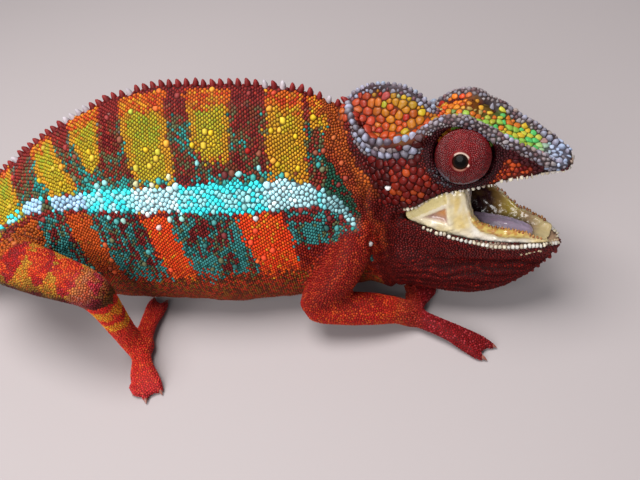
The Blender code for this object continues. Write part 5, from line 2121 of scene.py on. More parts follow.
    def _tubercles(self) -> list:
        """The largest round tubercles of the flank."""
        white, pale, gold = (0.78, 0.76, 0.76), (0.3, 0.72, 0.72), INK.yellow
        rows = (
            (63.5, 0.3, pale), (61.0, 0.31, pale), (63.0, 0.45, pale), (66.0, 0.47, (0.4, 0.7, 0.62)),
            (71.5, 0.32, (0.7, 0.72, 0.4)), (75.5, 0.335, (0.7, 0.72, 0.5)), (79.6, 0.31, (0.7, 0.74, 0.45)),
            (73.2, 0.455, white), (78.2, 0.475, (0.5, 0.75, 0.66)), (75.0, 0.51, (0.8, 0.62, 0.58)),
            (86.6, 0.26, pale), (81.4, 0.47, (0.3, 0.7, 0.6)), (96.2, 0.3, pale), (101.2, 0.29, pale),
            (98.6, 0.49, white), (89.4, 0.45, pale), (96.6, 0.43, pale), (99.0, 0.22, INK.red),
            (105.3, 0.27, gold), (109.8, 0.17, gold), (104.6, 0.15, gold), (114.0, 0.09, gold),
            (109.6, 0.29, gold), (44.0, 0.2, gold), (50.5, 0.25, gold), (74.8, 0.2, gold),
            (90.5, 0.15, gold), (86.0, 0.19, gold), (60.0, 0.17, gold),
        )
        out = []
        along, share, side = self.skin.trunk.read(self.skin.points)
        for flank in (-1, 1):
            shift = 0.0 if flank < 0 else 1.3
            for x, v, tint in rows:
                gap = ((along - x - shift) / 55) ** 2 + (share - v) ** 2 + (side != flank) * 9
                out.append((self.skin.points[gap.argmin()], tint))
        for spot in ((124.6, -57.9, 25.4), (129.2, -54.7, 38.9)):
            gap = ((self.skin.points - np.array(spot)) ** 2).sum(axis=1)
            out.append((self.skin.points[gap.argmin()], white))
        return out

    def _scatter(self, fixed: Roots) -> Roots:
        """Throw trial places on the skin and keep those with room around them.

        Args:
            fixed: scales that stay where they are.

        Returns:
            All the scales.
        """
        mesh = self.skin.item.data
        mesh.calc_loop_triangles()
        tris = read_rows(mesh.loop_triangles, "vertices", 3, np.int32)
        points, weights = self.skin.points, self.skin.weights
        a, b, c = (points[tris[:, k]] for k in range(3))
        area = np.linalg.norm(np.cross(b - a, c - a), axis=1) / 2
        middle, mid_weight = (a + b + c) / 3, weights[tris].mean(axis=1)
        size, _ = self._spacing(middle, mid_weight)
        draw = np.random.default_rng(self.seed)
        expected = area / size**2 * self.trial_share
        count = np.floor(expected + draw.random(len(area))).astype(int)
        pick_tri = np.repeat(np.arange(len(area)), count)
        u, v = draw.random(len(pick_tri)), draw.random(len(pick_tri))
        over = u + v > 1
        u[over], v[over] = 1 - u[over], 1 - v[over]
        corner = tris[pick_tri]
        bary = np.column_stack([1 - u - v, u, v])
        place = (points[corner] * bary[:, :, None]).sum(axis=1)
        weight = (weights[corner] * bary[:, :, None]).sum(axis=1)
        way = unit((self.skin.ways[corner] * bary[:, :, None]).sum(axis=1))
        spacing, stretch = self._spacing(place, weight)
        normal = unit((self.skin.normals[corner] * bary[:, :, None]).sum(axis=1))
        way = unit(way - normal * (way * normal).sum(axis=1, keepdims=True))
        place, sure = self._in_rows(place, weight, way, normal, draw.normal(0, 0.05, (len(place), 2)))
        head = weight[:, Region.HEAD] > 0.5
        uneven, even = draw.uniform(0.66, 1.22, len(place)), draw.uniform(0.9, 1.1, len(place))
        spacing = spacing * np.where(head & (spacing > 1.1), uneven, even)
        trunk = weight[:, Region.TRUNK] > 0.6
        _, share, _ = self.skin.trunk.read(place)
        bump = trunk & (share < 0.75) & (draw.random(len(place)) < 0.0022)
        spacing = np.where(bump, draw.uniform(1.3, 1.55, len(place)), spacing)
        stretch = np.where(bump, 1.0, stretch)
        order = np.lexsort((draw.random(len(place)), ~sure, -np.round(np.clip(spacing, 1.25, 3), 1)))
        keep = np.array(self._room(order, place, way, spacing, stretch, fixed))
        kind = np.where(bump[keep], Kind.KNOB, Kind.BEAD)
        plate = head[keep] & (spacing[keep] > 0.98)
        kind = np.where(plate, Kind.PLATE, kind)
        height = np.where(plate, 0.24, np.where(bump[keep], 0.36, 0.4))
        count = len(keep)
        loose = (place[keep], way[keep], spacing[keep], stretch[keep], height, kind)
        loose = (*loose, np.zeros((count, 3)), np.zeros(count, bool))
        held = (getattr(fixed, item.name) for item in fields(Roots))
        return Roots(*(np.concatenate(pair) for pair in zip(held, loose)))

    def _room(
        self, order: Array, place: Array, way: Array, spacing: Array, stretch: Array, fixed: Roots
    ) -> list[int]:
        """Numbers of the trial places that stand clear of all kept before them.

        Args:
            order: numbers of the trial places, first come first.
            place: places in mm.
            way: direction of the rows there.
            spacing: spacing of the scales in mm.
            stretch: how much taller than wide they are.
            fixed: scales that stay where they are.

        Returns:
            Their numbers.
        """
        cell = 1.5
        grid: dict[tuple[int, int, int], list[tuple[float, float, float, float]]] = {}

        def note(x: float, y: float, z: float, size: float) -> None:
            """Enter a place in every cell it may crowd.

            Args:
                x: its x.
                y: its y.
                z: its z.
                size: spacing there.
            """
            far = 1 if size > 1.25 else 0
            kx, ky, kz = int(x // cell), int(y // cell), int(z // cell)
            for dx in range(-far, far + 1):
                for dy in range(-far, far + 1):
                    for dz in range(-far, far + 1):
                        grid.setdefault((kx + dx, ky + dy, kz + dz), []).append((x, y, z, size))

        for spot, size in zip(fixed.place.tolist(), fixed.spacing.tolist()):
            note(*spot, size)
        kept = []
        spots, ways = place.tolist(), way.tolist()
        sizes, pulls = spacing.tolist(), stretch.tolist()
        around = [(i, j, k) for i in (-1, 0, 1) for j in (-1, 0, 1) for k in (-1, 0, 1)]
        for number in order.tolist():
            x, y, z = spots[number]
            ax, ay, az = ways[number]
            size, pull = sizes[number], pulls[number]
            kx, ky, kz = int(x // cell), int(y // cell), int(z // cell)
            free = True
            for i, j, k in around:
                for ox, oy, oz, other in grid.get((kx + i, ky + j, kz + k), ()):
                    dx, dy, dz = ox - x, oy - y, oz - z
                    run = dx * ax + dy * ay + dz * az
                    gap = (dx * dx + dy * dy + dz * dz - run * run) / pull + run * run * pull
                    limit = (size + other) * self.crowding
                    if gap < limit * limit:
                        free = False
                        break
                if not free:
                    break
            if free:
                kept.append(number)
                note(x, y, z, size)
        return [n for n in kept if not self._barred(spots[n])]

    def _barred(self, spot: list[float]) -> bool:
        """Whether a place lies under the mouth's lining or inside a turret.

        Args:
            spot: place in mm.

        Returns:
            True where it does.
        """
        for tree, reach in self.keep_out:
            if tree.find_nearest(spot, reach)[0] is not None:
                head = SKULL.inward(np.array([spot]))
                return not (on_roof(head)[0] and abs(head[0, 1]) < 6.0)
        return False

    def _near(self, roots: Roots, count: int) -> Array:
        """Numbers of each scale's nearest neighbours.

        Args:
            roots: the scales.
            count: how many neighbours.

        Returns:
            A row of numbers for each scale.
        """
        tree = KDTree(len(roots))
        spots = roots.place.tolist()
        for number, spot in enumerate(spots):
            tree.insert(spot, number)
        tree.balance()
        out = np.empty((len(roots), count), int)
        for number, spot in enumerate(spots):
            out[number] = [hit[1] for hit in tree.find_n(spot, count + 1)][1:]
        return out

    def _relax(self, roots: Roots) -> None:
        """Push crowded scales apart along the skin.

        Args:
            roots: the scales.
        """
        for _ in range(self.relax_rounds):
            near = self._near(roots, 7)
            gap = roots.place[near] - roots.place[:, None]
            run = (gap * roots.way[:, None]).sum(axis=2)
            pull = roots.stretch[:, None]
            length = np.sqrt(((gap**2).sum(axis=2) - run**2).clip(0) / pull + run**2 * pull)
            target = (roots.spacing[:, None] + roots.spacing[near]) * 0.5
            push = np.clip(target - length, 0, None) / target
            step = -(unit(gap) * push[:, :, None]).sum(axis=1) * roots.spacing[:, None] * self.relax_step
            step[roots.fixed] = 0
            moved = roots.place + step
            hits = [self.tree.find_nearest(spot)[0][:] for spot in moved.tolist()]
            roots.place = np.where(roots.fixed[:, None], roots.place, np.array(hits))

    def _settle(self, roots: Roots) -> None:
        """Read each scale's face and upright direction from the skin.

        Args:
            roots: the scales.
        """
        mesh = self.skin.item.data
        hits = [self.tree.find_nearest(spot) for spot in roots.place.tolist()]
        roots.face = np.array([hit[2] for hit in hits])
        corner = read_rows(mesh.loops, "vertex_index", 1, np.int32)[:, 0]
        first = face_starts(mesh)[roots.face]
        corners = np.column_stack([corner[first + k] for k in range(3)])
        roots.normal = unit(self.skin.normals[corners].sum(axis=1))
        self.weights = self.skin.weights[corners].mean(axis=1)
        way = roots.way - roots.normal * (roots.way * roots.normal).sum(axis=1, keepdims=True)
        roots.way = unit(way + 1e-5)

    def _tint(self, roots: Roots) -> None:
        """Colour the scales, larger tubercles a little brighter.

        Args:
            roots: the scales.
        """
        draw = np.random.default_rng(self.seed + 1).random((len(roots), 3))
        colour = self.markings.colour(roots.place, self.weights, draw)
        knob = (roots.kind == Kind.KNOB) & ~roots.fixed
        colour[knob] = np.clip(colour[knob] * 1.25 + 0.02, 0, 0.9)
        own = roots.colour * (0.72 + 0.26 * draw[:, 1:2])
        roots.colour = np.where(roots.fixed[:, None], own, colour)

    def _reach(self, roots: Roots, chosen: Array, near: Array, sides: int) -> Array:
        """How far a scale may spread in each direction before it meets its neighbours.

        Args:
            roots: the scales.
            chosen: numbers of the scales in hand.
            near: numbers of each scale's neighbours.
            sides: number of directions.

        Returns:
            Reach in mm, a row for each scale.
        """
        gap = roots.place[near[chosen]] - roots.place[chosen][:, None]
        normal, way = roots.normal[chosen], roots.way[chosen]
        across = np.cross(normal, way)
        flat_x = (gap * way[:, None]).sum(axis=2)
        flat_y = (gap * across[:, None]).sum(axis=2)
        length = np.hypot(flat_x, flat_y).clip(0.05)
        own = roots.spacing[chosen][:, None]
        share = own / (own + roots.spacing[near[chosen]])
        bearing = np.arctan2(flat_y, flat_x)
        angles = math.pi / 2 + np.arange(sides) * 2 * math.pi / sides
        facing = np.cos(angles[None, :, None] - bearing[:, None, :])
        reach = np.where(facing > 0.12, (share * length)[:, None, :] / np.maximum(facing, 0.12), 9.0)
        reach = reach.min(axis=2) - self.groove
        pull = roots.stretch[chosen][:, None]
        most = np.where(roots.kind[chosen] == Kind.PLATE, 1.0, 0.72)
        widest = own * most[:, None] * np.sqrt(pull)
        return np.clip(reach, 0.16, widest)

    def _pieces(self, roots: Roots, flat: Array) -> list[bpy.types.Object]:
        """Shape the scales and join them in pieces, kind by kind and region by region.

        Args:
            roots: the scales.
            flat: middle of each face on the skin's map.

        Returns:
            The pieces.
        """
        near = self._near(roots, 9)
        region = self.weights.argmax(axis=1)
        along = roots.place[:, 0]
        trunk = region == Region.TRUNK
        head = np.isin(region, [Region.HEAD, Region.JAW])
        neck = np.isin(region, [Region.NECK, Region.THROAT])
        tail = region == Region.TAIL
        arm = np.isin(region, [Region.ARM, Region.HAND])
        right = self.skin.trunk.read(roots.place)[2] < 0
        sets = {
            "scales_flank_right": trunk & right,
            "scales_flank_left": trunk & ~right,
            "scales_head": head,
            "scales_throat": neck,
            "scales_tail": tail,
            "scales_arms": arm,
            "scales_legs": ~(trunk | head | neck | tail | arm),
        }
        finish = {
            "scales_head": ScaleFinish("head_scale", roughness=0.28, coat=0.1).build(),
            "scales_throat": ScaleFinish("throat_scale", roughness=0.36, specular=0.1).build(),
        }
        plain = ScaleFinish("body_scale").build()
        made = []
        for name, mask in sets.items():
            mine = np.flatnonzero(mask)
            mine = mine[np.argsort(along[mine])]
            parts = math.ceil(len(mine) / self.piece_scales)
            for number, part in enumerate(np.array_split(mine, parts), 1):
                item = self._piece(f"{name}_{number}", roots, part, near, flat)
                item.data.materials.append(finish.get(name, plain))
                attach(item, "root")
                made.append(item)
        return made

    def _piece(self, name: str, roots: Roots, chosen: Array, near: Array, flat: Array) -> bpy.types.Object:
        """One joined mesh of scales.

        Args:
            name: its name.
            roots: the scales.
            chosen: numbers of its scales.
            near: numbers of each scale's neighbours.
            flat: middle of each face on the skin's map.

        Returns:
            The piece.
        """
        points, corners, sizes, rises, tints, spots = [], [], [], [], [], []
        base = 0
        for kind, profile in PROFILES.items():
            mine = chosen[roots.kind[chosen] == kind.value]
            if len(mine) == 0:
                continue
            own, faces, face_sizes, rise, ring = self._shape(roots, mine, near, profile)
            count = own.shape[1]
            shift = base + np.arange(len(mine))[:, None] * count
            points.append(own.reshape(-1, 3))
            corners.append((faces[None, :] + shift).ravel())
            sizes.append(np.tile(face_sizes, len(mine)))
            # Pale scales get less of the painted foot shade.
            pale = np.clip(roots.colour[mine].min(axis=1) * 1.6, 0, 0.75)
            pale = np.maximum(pale, 0.45 * (roots.colour[mine][:, 2] > 0.5))
            rises.append((pale[:, None] + (1 - pale[:, None]) * rise[None]).ravel())
            tints.append(np.repeat(roots.colour[mine], count, axis=0))
            patch = flat[roots.face[mine]][:, None, :] + ring[None] * 0.0015
            spots.append(patch.reshape(-1, 2))
            base += len(mine) * count
        corner = np.concatenate(corners)
        places = np.vstack(points)
        places[:, 2] = np.maximum(places[:, 2], 0.02)
        item = array_mesh(name, places * MM, corner, np.concatenate(sizes))
        mesh = item.data
        colour_layer(mesh, "pigment", np.vstack(tints))
        value_layer(mesh, "rise", np.concatenate(rises))
        layer = mesh.uv_layers.new(name="OFBake")
        layer.uv.foreach_set("vector", np.vstack(spots)[corner].astype(np.float32).ravel())
        triangles = int((np.concatenate(sizes) - 2).sum())
        LOG.info("%s: %d scales, %d triangles", name, len(chosen), triangles)
        return item

    def _shape(self, roots: Roots, mine: Array, near: Array, profile: Profile) -> tuple:
        """Vertices of each scale and the faces they share.

        Args:
            roots: the scales.
            mine: numbers of the scales in hand.
            near: numbers of each scale's neighbours.
            profile: their cross-section.

        Returns:
            Places, faces, face sizes, rise, and where each vertex lies in its scale.
        """
        sides = profile.sides
        reach = self._reach(roots, mine, near, sides)
        if profile.rake:
            reach = np.minimum(reach, roots.spacing[mine][:, None] * 0.5)
        angles = math.pi / 2 + np.arange(sides) * 2 * math.pi / sides
        place, normal, way = roots.place[mine], roots.normal[mine], roots.way[mine]
        across = np.cross(normal, way)
        tall = roots.height[mine] * roots.spacing[mine]
        rows = []
        for wide, high in (*profile.rings, (0.0, 1.0)):
            lift = tall * high
            back = profile.rake * tall * max(high, 0) ** 2
            if wide == 0.0:
                tip = place + normal * lift[:, None] + way * back[:, None]
                rows.append(tip[:, None, :])
                continue
            flat = spokes(way, across, angles)
            ring = place[:, None] + flat * (reach * wide)[:, :, None] + (normal * lift[:, None])[:, None]
            rows.append(ring + (way * back[:, None])[:, None])
        faces, sizes = ring_faces(sides, len(profile.rings))
        rise = [min(1.0, 1.5 * max(0.0, high)) for _, high in profile.rings for _ in range(sides)] + [1.0]
        ring = [(math.cos(a) * wide, math.sin(a) * wide) for wide, _ in profile.rings for a in angles]
        ring.append((0.0, 0.0))
        return np.concatenate(rows, axis=1), faces, sizes, np.array(rise), np.array(ring)


# Eyes


@dataclass
class Eye:
    """Eye turret with its granules, and the eyeball behind the opening."""

    side: int
    frame: dict
    granule: float = 0.44
    depth: float = 0.14
    sides: int = 56

    @property
    def word(self) -> str:
        """Name of the side."""
        return "right" if self.side < 0 else "left"

    def build(self) -> None:
        """Make lid, granules and eyeball."""
        axes = TurretAxes(self.side)
        self._lid(axes)
        self._granules(axes)
        self._ball(axes)
        LOG.info("eye %s made", self.word)

    def _dome(self, axes: TurretAxes, slope: Array, turn: Array, lift: float) -> tuple[Array, Array]:
        """Places and normals on the dome from a slope above its equator and a turn about its axis.

        Args:
            axes: the turret's axes.
            slope: angles above the equator.
            turn: angles about the axis.
            lift: height over the dome in mm.

        Returns:
            Places and normals.
        """
        ahead, up = axes.cross_axes()
        way, centre = axes.way(), axes.centre()
        radius = axes.radius - self.depth + lift
        flat = np.cos(slope)[:, None] * (np.cos(turn)[:, None] * ahead + np.sin(turn)[:, None] * up)
        rise = np.sin(slope)[:, None] * way
        return centre + radius * (flat + axes.flatness * rise), unit(flat + rise / axes.flatness)

    def _lid(self, axes: TurretAxes) -> None:
        """Skin of the turret, turned in at its opening.

        Args:
            axes: the turret's axes.
        """
        top = math.acos(axes.rim / axes.radius)
        edge = top + np.array([-0.1, -0.06, -0.02, 0.01])
        slopes = np.concatenate([[-0.75], np.linspace(-0.35, top - 0.15, 15), edge])
        lifts = np.concatenate([np.zeros(16), [0.1, 0.26, 0.26, 0.08]])
        rings = []
        turn = np.linspace(0, 2 * math.pi, self.sides, endpoint=False)
        for slope, lift in zip(slopes, lifts):
            rings.append(self._dome(axes, np.full(self.sides, slope), turn, lift)[0])
        rings.append(rings[-1] - axes.way() * 0.7 + (rings[-1] - rings[-1].mean(axis=0)) * 0.06)
        points = np.vstack(rings)
        item = array_mesh(f"eye_lid_{self.word}", points * MM, *ring_faces(self.sides, len(rings), tip=False))
        normals_out(item)
        reach, _ = axes.read(points)
        ahead, up = axes.cross_axes()
        offset = points - axes.centre()
        bearing = np.degrees(np.arctan2(offset @ up, offset @ ahead))
        # Cream rim over the top of the opening, and between -40 and -22 degrees a painted white highlight on
        # the rim.
        cream_and_glint = 0.36 * between(bearing, 18, 128, 24) + 0.34 * between(bearing, -40, -22, 12)
        cream = clamp((axes.rim + cream_and_glint - reach) / 0.12) * (reach > axes.rim - 0.25)
        tint = mix((0.16, 0.01, 0.012), (0.82, 0.74, 0.62), cream * clamp(cream_and_glint / 0.25))
        dull = (np.abs(reach - axes.rim - 0.1) < 0.22) * between(bearing, -150, -60, 30)
        tint = mix(tint, (0.3, 0.16, 0.11), dull * 0.8)
        # Inside the rim, painted near black: painted shade in the opening.
        tint = mix(tint, (0.01, 0.005, 0.005), (reach < axes.rim - 0.12) * 1.0)
        colour_layer(item.data, "pigment", tint)
        value_layer(item.data, "rise", np.full(len(points), 0.6))
        item.data.materials.append(ScaleFinish("lid_skin", roughness=0.42, specular=0.12).build())
        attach(item, "root")
        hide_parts(f"eye_turret_{self.word}")

    def _granules(self, axes: TurretAxes) -> None:
        """Rings of fine granules round the opening.

        Args:
            axes: the turret's axes.
        """
        draw = np.random.default_rng(17 + self.side)
        top = math.acos(axes.rim / axes.radius)
        edge = math.sin(top - 0.13)
        count = int(2 * math.pi * axes.radius**2 * (edge + 0.3) / (self.granule**2 * 0.88))
        step = np.arange(count)
        slopes = np.arcsin(edge - (edge + 0.3) * (step + 0.5) / count) + draw.normal(0, 0.006, count)
        turns = (step * GOLDEN + draw.normal(0, 0.006, count) + math.pi) % (2 * math.pi) - math.pi
        sizes = self.granule * draw.uniform(0.9, 1.12, count)
        place, normal = self._dome(axes, slopes, turns, 0.0)
        colour = self._tints(place, slopes, turns, draw)
        ahead, _ = axes.cross_axes()
        item = granule_mesh(f"eye_granules_{self.word}", place, normal, ahead, sizes, colour)
        finish = ScaleFinish("lid_granule", roughness=0.13, coat=0.12, specular=0.3)
        item.data.materials.append(finish.build())
        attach(item, "root")

    def _tints(self, place: Array, slopes: Array, turns: Array, draw: np.random.Generator) -> Array:
        """Colours of the granules: crimson, darker on the rear side as painted shade, with blue-grey patches
        below and behind.

        Args:
            place: places in mm.
            slopes: angles above the equator.
            turns: angles about the axis.
            draw: source of random numbers.

        Returns:
            Their colours.
        """
        count = len(place)
        out = pick(
            draw.random(count), 0.5, (0.15, 0.005, 0.008), 0.3, (0.2, 0.01, 0.012),
            (0.1, 0.003, 0.005),
        )
        # Darker on the rear side of the turret: painted shade.
        out = out * (1.0 - 0.55 * clamp(0.15 - np.cos(turns - 0.3)) * np.cos(slopes))[:, None]
        low = clamp((-np.sin(turns) - 0.6) * 3.0) * clamp((0.62 - slopes) * 3.0)
        rear = clamp((-np.cos(turns - 0.9) - 0.8) * 4.0) * clamp((0.85 - slopes) * 3.0)
        patch = clamp(low + rear) * (ripple(place, 2.6, 91) + draw.random(count) > 0.3)
        return mix(out, (0.17, 0.21, 0.26), patch * 0.85)

    def _ball(self, axes: TurretAxes) -> None:
        """Near-black eyeball, a plain sphere behind the opening.

        Args:
            axes: the turret's axes.
        """
        way = Vector(axes.way())
        middle = Vector(axes.centre()) + way * (axes.radius * axes.flatness - axes.eye_radius - 0.25)
        bare()
        bpy.ops.mesh.primitive_uv_sphere_add(segments=40, ring_count=24, radius=axes.eye_radius * MM)
        item = bpy.context.active_object
        item.name = f"eye_ball_{self.word}"
        item.data.name = item.name
        turn = way.to_track_quat("Z", "Y").to_matrix().to_4x4()
        item.data.transform(Matrix.Translation(middle * MM) @ turn)
        bpy.ops.object.shade_smooth()
        points = coords(item.data) / MM
        reach, _ = axes.read(points)
        ring = clamp((reach - 1.35) / 0.16) * clamp((1.75 - reach) / 0.12)
        tint = mix((0.004, 0.003, 0.003), (0.05, 0.015, 0.006), ring * 0.5)
        colour_layer(item.data, "pigment", tint)
        value_layer(item.data, "rise", np.ones(len(points)))
        clear = ScaleFinish(
            "eye_clear", foot=(1.0, 1.0, 1.0), roughness=0.0, grain=2600, coat=0.03, specular=0.05, bump=0.0
        )
        item.data.materials.append(clear.build())
        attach(item, "root")
        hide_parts(f"eye_{self.word}")


def normals_out(item: bpy.types.Object) -> None:
    """Point an object's faces outwards.

    Args:
        item: the object.
    """
    work = bmesh.new()
    work.from_mesh(item.data)
    bmesh.ops.recalc_face_normals(work, faces=work.faces)
    work.to_mesh(item.data)
    work.free()


def spokes(way: Array, across: Array, angles: Array) -> Array:
    """Directions at some angles in the plane of each row's two directions."""
    return way[:, None] * np.cos(angles)[None, :, None] + across[:, None] * np.sin(angles)[None, :, None]


def granule_mesh(
    name: str, place: Array, normal: Array, way: Array, sizes: Array, colour: Array, tall: float = 0.34
) -> bpy.types.Object:
    """Joined mesh of small domes.

    Args:
        name: name of the object.
        place: where each dome stands, in mm.
        normal: its upright direction.
        way: one direction that its ring starts from.
        sizes: its width in mm.
        colour: its colour.
        tall: its height as a share of its width.

    Returns:
        The object, with pigment and rise layers.
    """
    sides = 6
    way = unit(np.asarray(way) - normal * (np.asarray(way) * normal).sum(axis=1, keepdims=True))
    across = np.cross(normal, way)
    angles = np.arange(sides) * 2 * math.pi / sides
    rows = []
    for wide, high in ((0.53, -0.12), (0.38, 0.65 * tall), (0.0, tall)):
        flat = spokes(way, across, angles if wide else angles[:1])
        rows.append(place[:, None] + (flat * wide + normal[:, None] * high) * sizes[:, None, None])
    points = np.concatenate(rows, axis=1)
    faces, counts = ring_faces(sides, 2)
    corner = (faces[None] + np.arange(len(place))[:, None] * points.shape[1]).ravel()
    item = array_mesh(name, points.reshape(-1, 3) * MM, corner, np.tile(counts, len(place)))
    colour_layer(item.data, "pigment", np.repeat(colour, points.shape[1], axis=0))
    rise = np.array([0.0] * sides + [0.7] * sides + [1.0])
    value_layer(item.data, "rise", np.tile(rise, len(place)))
    return item


# Mouth


def prism(name: str, outline: tuple[tuple[float, float], ...], low: float, high: float) -> bpy.types.Object:
    """Solid with an outline across the head's own x and z, from one y to another, in mm.

    Args:
        name: its name.
        outline: x and z of its corners.
        low: y of one end.
        high: y of the other end.

    Returns:
        The solid.
    """
    work = bmesh.new()
    ends = []
    for level in (low, high):
        spots = SKULL.outward([(x, level, z) for x, z in outline])
        ends.append([work.verts.new(tuple(spot)) for spot in spots])
    work.faces.new(ends[0])
    work.faces.new(ends[1])
    for k in range(len(outline)):
        after = (k + 1) % len(outline)
        work.faces.new((ends[0][k], ends[0][after], ends[1][after], ends[1][k]))
    bmesh.ops.recalc_face_normals(work, faces=work.faces)
    bmesh.ops.triangulate(work, faces=work.faces)
    return worked_mesh(name, work)


@dataclass
class Mouth:
    """Lining, tongue and jaw teeth."""

    frame: dict
    swell: float = 0.3
    voxel: float = 0.4
    near_rim: tuple[tuple[float, float], ...] = (
        (11.2, 6.0), (12.2, 0.6), (12.3, -2.6), (12.8, -5.4), (14.2, -7.5), (18.4, -9.7), (24.4, -11.2),
        (30.0, -13.6), (36.0, -14.2), (36.0, 6.0),
    )
    far_rim: tuple[tuple[float, float], ...] = (
        (12.6, 6.0), (13.6, -3.6), (16.7, -7.2), (21.0, -11.8), (27.0, -14.2), (36.0, -14.8), (36.0, 6.0),
    )
    pocket: tuple[tuple[float, float], ...] = ((0.6, -4.4), (7.6, -1.9), (7.4, -7.0))

    def build(self) -> None:
        """Make the pieces of the open mouth."""
        self._lining()
        self._tongue()

    def _opened(self, item: bpy.types.Object) -> None:
        """Cut the walls down to their rims and round the cut.

        Args:
            item: the object.
        """
        for name, rim, low, high in (("near", self.near_rim, -14.0, 0.05), ("far", self.far_rim, 0.0, 14.0)):
            cutter = prism(f"cut_{name}", rim, low, high)
            bake_modifier(item, "BOOLEAN", object=cutter, operation="DIFFERENCE", solver="EXACT")
            bpy.data.objects.remove(cutter)
        bake_modifier(item, "REMESH", mode="VOXEL", voxel_size=self.voxel * 0.8, use_smooth_shade=True)
        place_vertices(item.data, evened(coords(item.data), edge_ends(item.data), 4, -0.55))

    def _in_pocket(self, ahead: Array, up: Array) -> Array:
        """Distance inside the pocket's outline, in mm, and less than zero outside it.

        Args:
            ahead: distance towards the snout in mm.
            up: height in the head's own axes.

        Returns:
            Distances in mm.
        """
        out = np.full(len(ahead), 9.0)
        for k in range(3):
            (ax, az), (bx, bz) = self.pocket[k], self.pocket[(k + 1) % 3]
            length = math.hypot(bx - ax, bz - az)
            out = np.minimum(out, ((bz - az) * (ahead - ax) - (bx - ax) * (up - az)) / length)
        return out

    def _wrapped(self, node: str, name: str, swell: float, rounds: int) -> bpy.types.Object:
        """Smooth copy of a node in mm.

        Args:
            node: name of the node.
            name: its name.
            swell: how far it is swollen in mm.
            rounds: how often it is smoothed.

        Returns:
            The copy.
        """
        item = copy_nodes([node], self.frame, name)
        place_vertices(item.data, coords(item.data) + vertex_normals(item.data) * swell)
        bake_modifier(item, "REMESH", mode="VOXEL", voxel_size=self.voxel, use_smooth_shade=True)
        place_vertices(item.data, evened(coords(item.data), edge_ends(item.data), rounds, -0.61))
        return item

    def _lining(self) -> None:
        """Yellow and cream lining with its folds."""
        item = self._wrapped("mouth_lining", "mouth_lining_wet", self.swell, 8)
        self._opened(item)
        points, normals = coords(item.data), vertex_normals(item.data)
        head = SKULL.inward(points)
        ahead, half, up = head[:, 0], np.abs(head[:, 1]), head[:, 2]
        face = normals @ SKULL.way((0.0, 1.0, 0.0)) * np.sign(head[:, 1])
        outer = (face > -0.25) & (half > 5.5)
        hollow = clamp(self._in_pocket(ahead, up) / 1.1) * outer
        fold = np.exp(-(((ahead - 8.1 - 0.05 * up) / 0.7) ** 2)) * 0.5 * outer * (up > -8)
        rim = np.interp(ahead, *zip(*self.near_rim[2:9]))
        below = rim - up
        ridge = clamp((ahead - 12.0) / 1.0) * (half > 5.0) * (head[:, 1] < 0)
        swell = np.exp(-(((below - 0.7) / 0.8) ** 2)) * 0.35 - np.exp(-(((below - 2.2) / 0.5) ** 2)) * 0.35
        wrinkle = 0.1 * ripple(points, 2.4, 71) + 0.07 * ripple(points, 1.2, 72)
        lift = fold + wrinkle - 1.0 * hollow + swell * ridge * outer
        place_vertices(item.data, points + normals * lift[:, None])
        cloud, dots = ripple(points, 5.0, 73), ripple(points, 1.5, 74)
        tint = mix((0.7, 0.6, 0.36), (0.74, 0.68, 0.54), clamp(0.4 + 0.6 * cloud))
        band = (up > -2.6 + 0.42 * (ahead - 2.0) - 0.6) & (ahead < 8.0)
        tint = mix(tint, (0.56, 0.46, 0.14), band * 0.7)
        strands = clamp(0.55 + 0.5 * ripple(points * (1, 1, 0.3), 1.8, 75))
        streak = between(ahead, 8.6, 12.0, 0.8) * (up > -8) * strands
        tint = mix(tint, (0.6, 0.42, 0.08), streak * 0.75)
        gum = ridge * clamp((1.9 - below) / 0.5)
        tint = mix(tint, (0.56, 0.4, 0.07), gum * 0.9)
        tint = mix(tint, (0.42, 0.16, 0.03), gum * (dots > 0.35) * 0.8)
        tint = mix(tint, (0.78, 0.74, 0.66), ridge * clamp((below - 2.0) / 0.6) * 0.9)
        deep_pocket = clamp(hollow * 1.4)
        tint = mix(tint, (0.33, 0.18, 0.16), deep_pocket * 0.95)
        ember = clamp((ahead - 3.5) / 2.5) * clamp((up + 4.2 + 0.2 * ahead) / 1.6)
        tint = mix(tint, (0.6, 0.24, 0.05), deep_pocket * ember * 0.9)
        inside = clamp((-face - 0.05) / 0.3) * clamp((half - 4.0) / 1.0)
        inside = np.maximum(inside, half < 5.4)
        far = head[:, 1] > 3.5
        olive = mix((0.42, 0.31, 0.05), (0.52, 0.42, 0.12), clamp(0.5 + cloud))
        tint = paint(tint, far & (inside > 0.3) & (ahead > 12), olive)
        # Darker towards the back of the mouth and near black deep inside: painted shade in the cavity.
        tint = mix(tint, (0.22, 0.1, 0.03), inside * clamp((19.6 - ahead + 1.2 * cloud) / 3.5) * 0.7)
        dark = inside * clamp((17.2 - ahead + 1.0 * cloud) / 3.0)
        tint = mix(tint, (0.03, 0.008, 0.011), dark)
        bed = (half < 5.4) & (ahead > 15)
        tint = mix(tint, (0.46, 0.3, 0.2), bed * clamp((ahead - 19) / 4) * 0.8)
        tint = mix(tint, (0.76, 0.62, 0.3), clamp((ahead - 23.5) / 2.5) * 0.8)
        colour_layer(item.data, "pigment", tint)
        finish = WetFinish("mouth_wet", stain=(0.46, 0.26, 0.05), share=0.22, bump=0.22)
        item.data.materials.append(finish.build())
        self._teeth(points)
        item.data.transform(Matrix.Scale(MM, 4))
        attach(item, "root")
        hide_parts("mouth_lining")
        LOG.info("mouth lining: %d vertices", len(points))

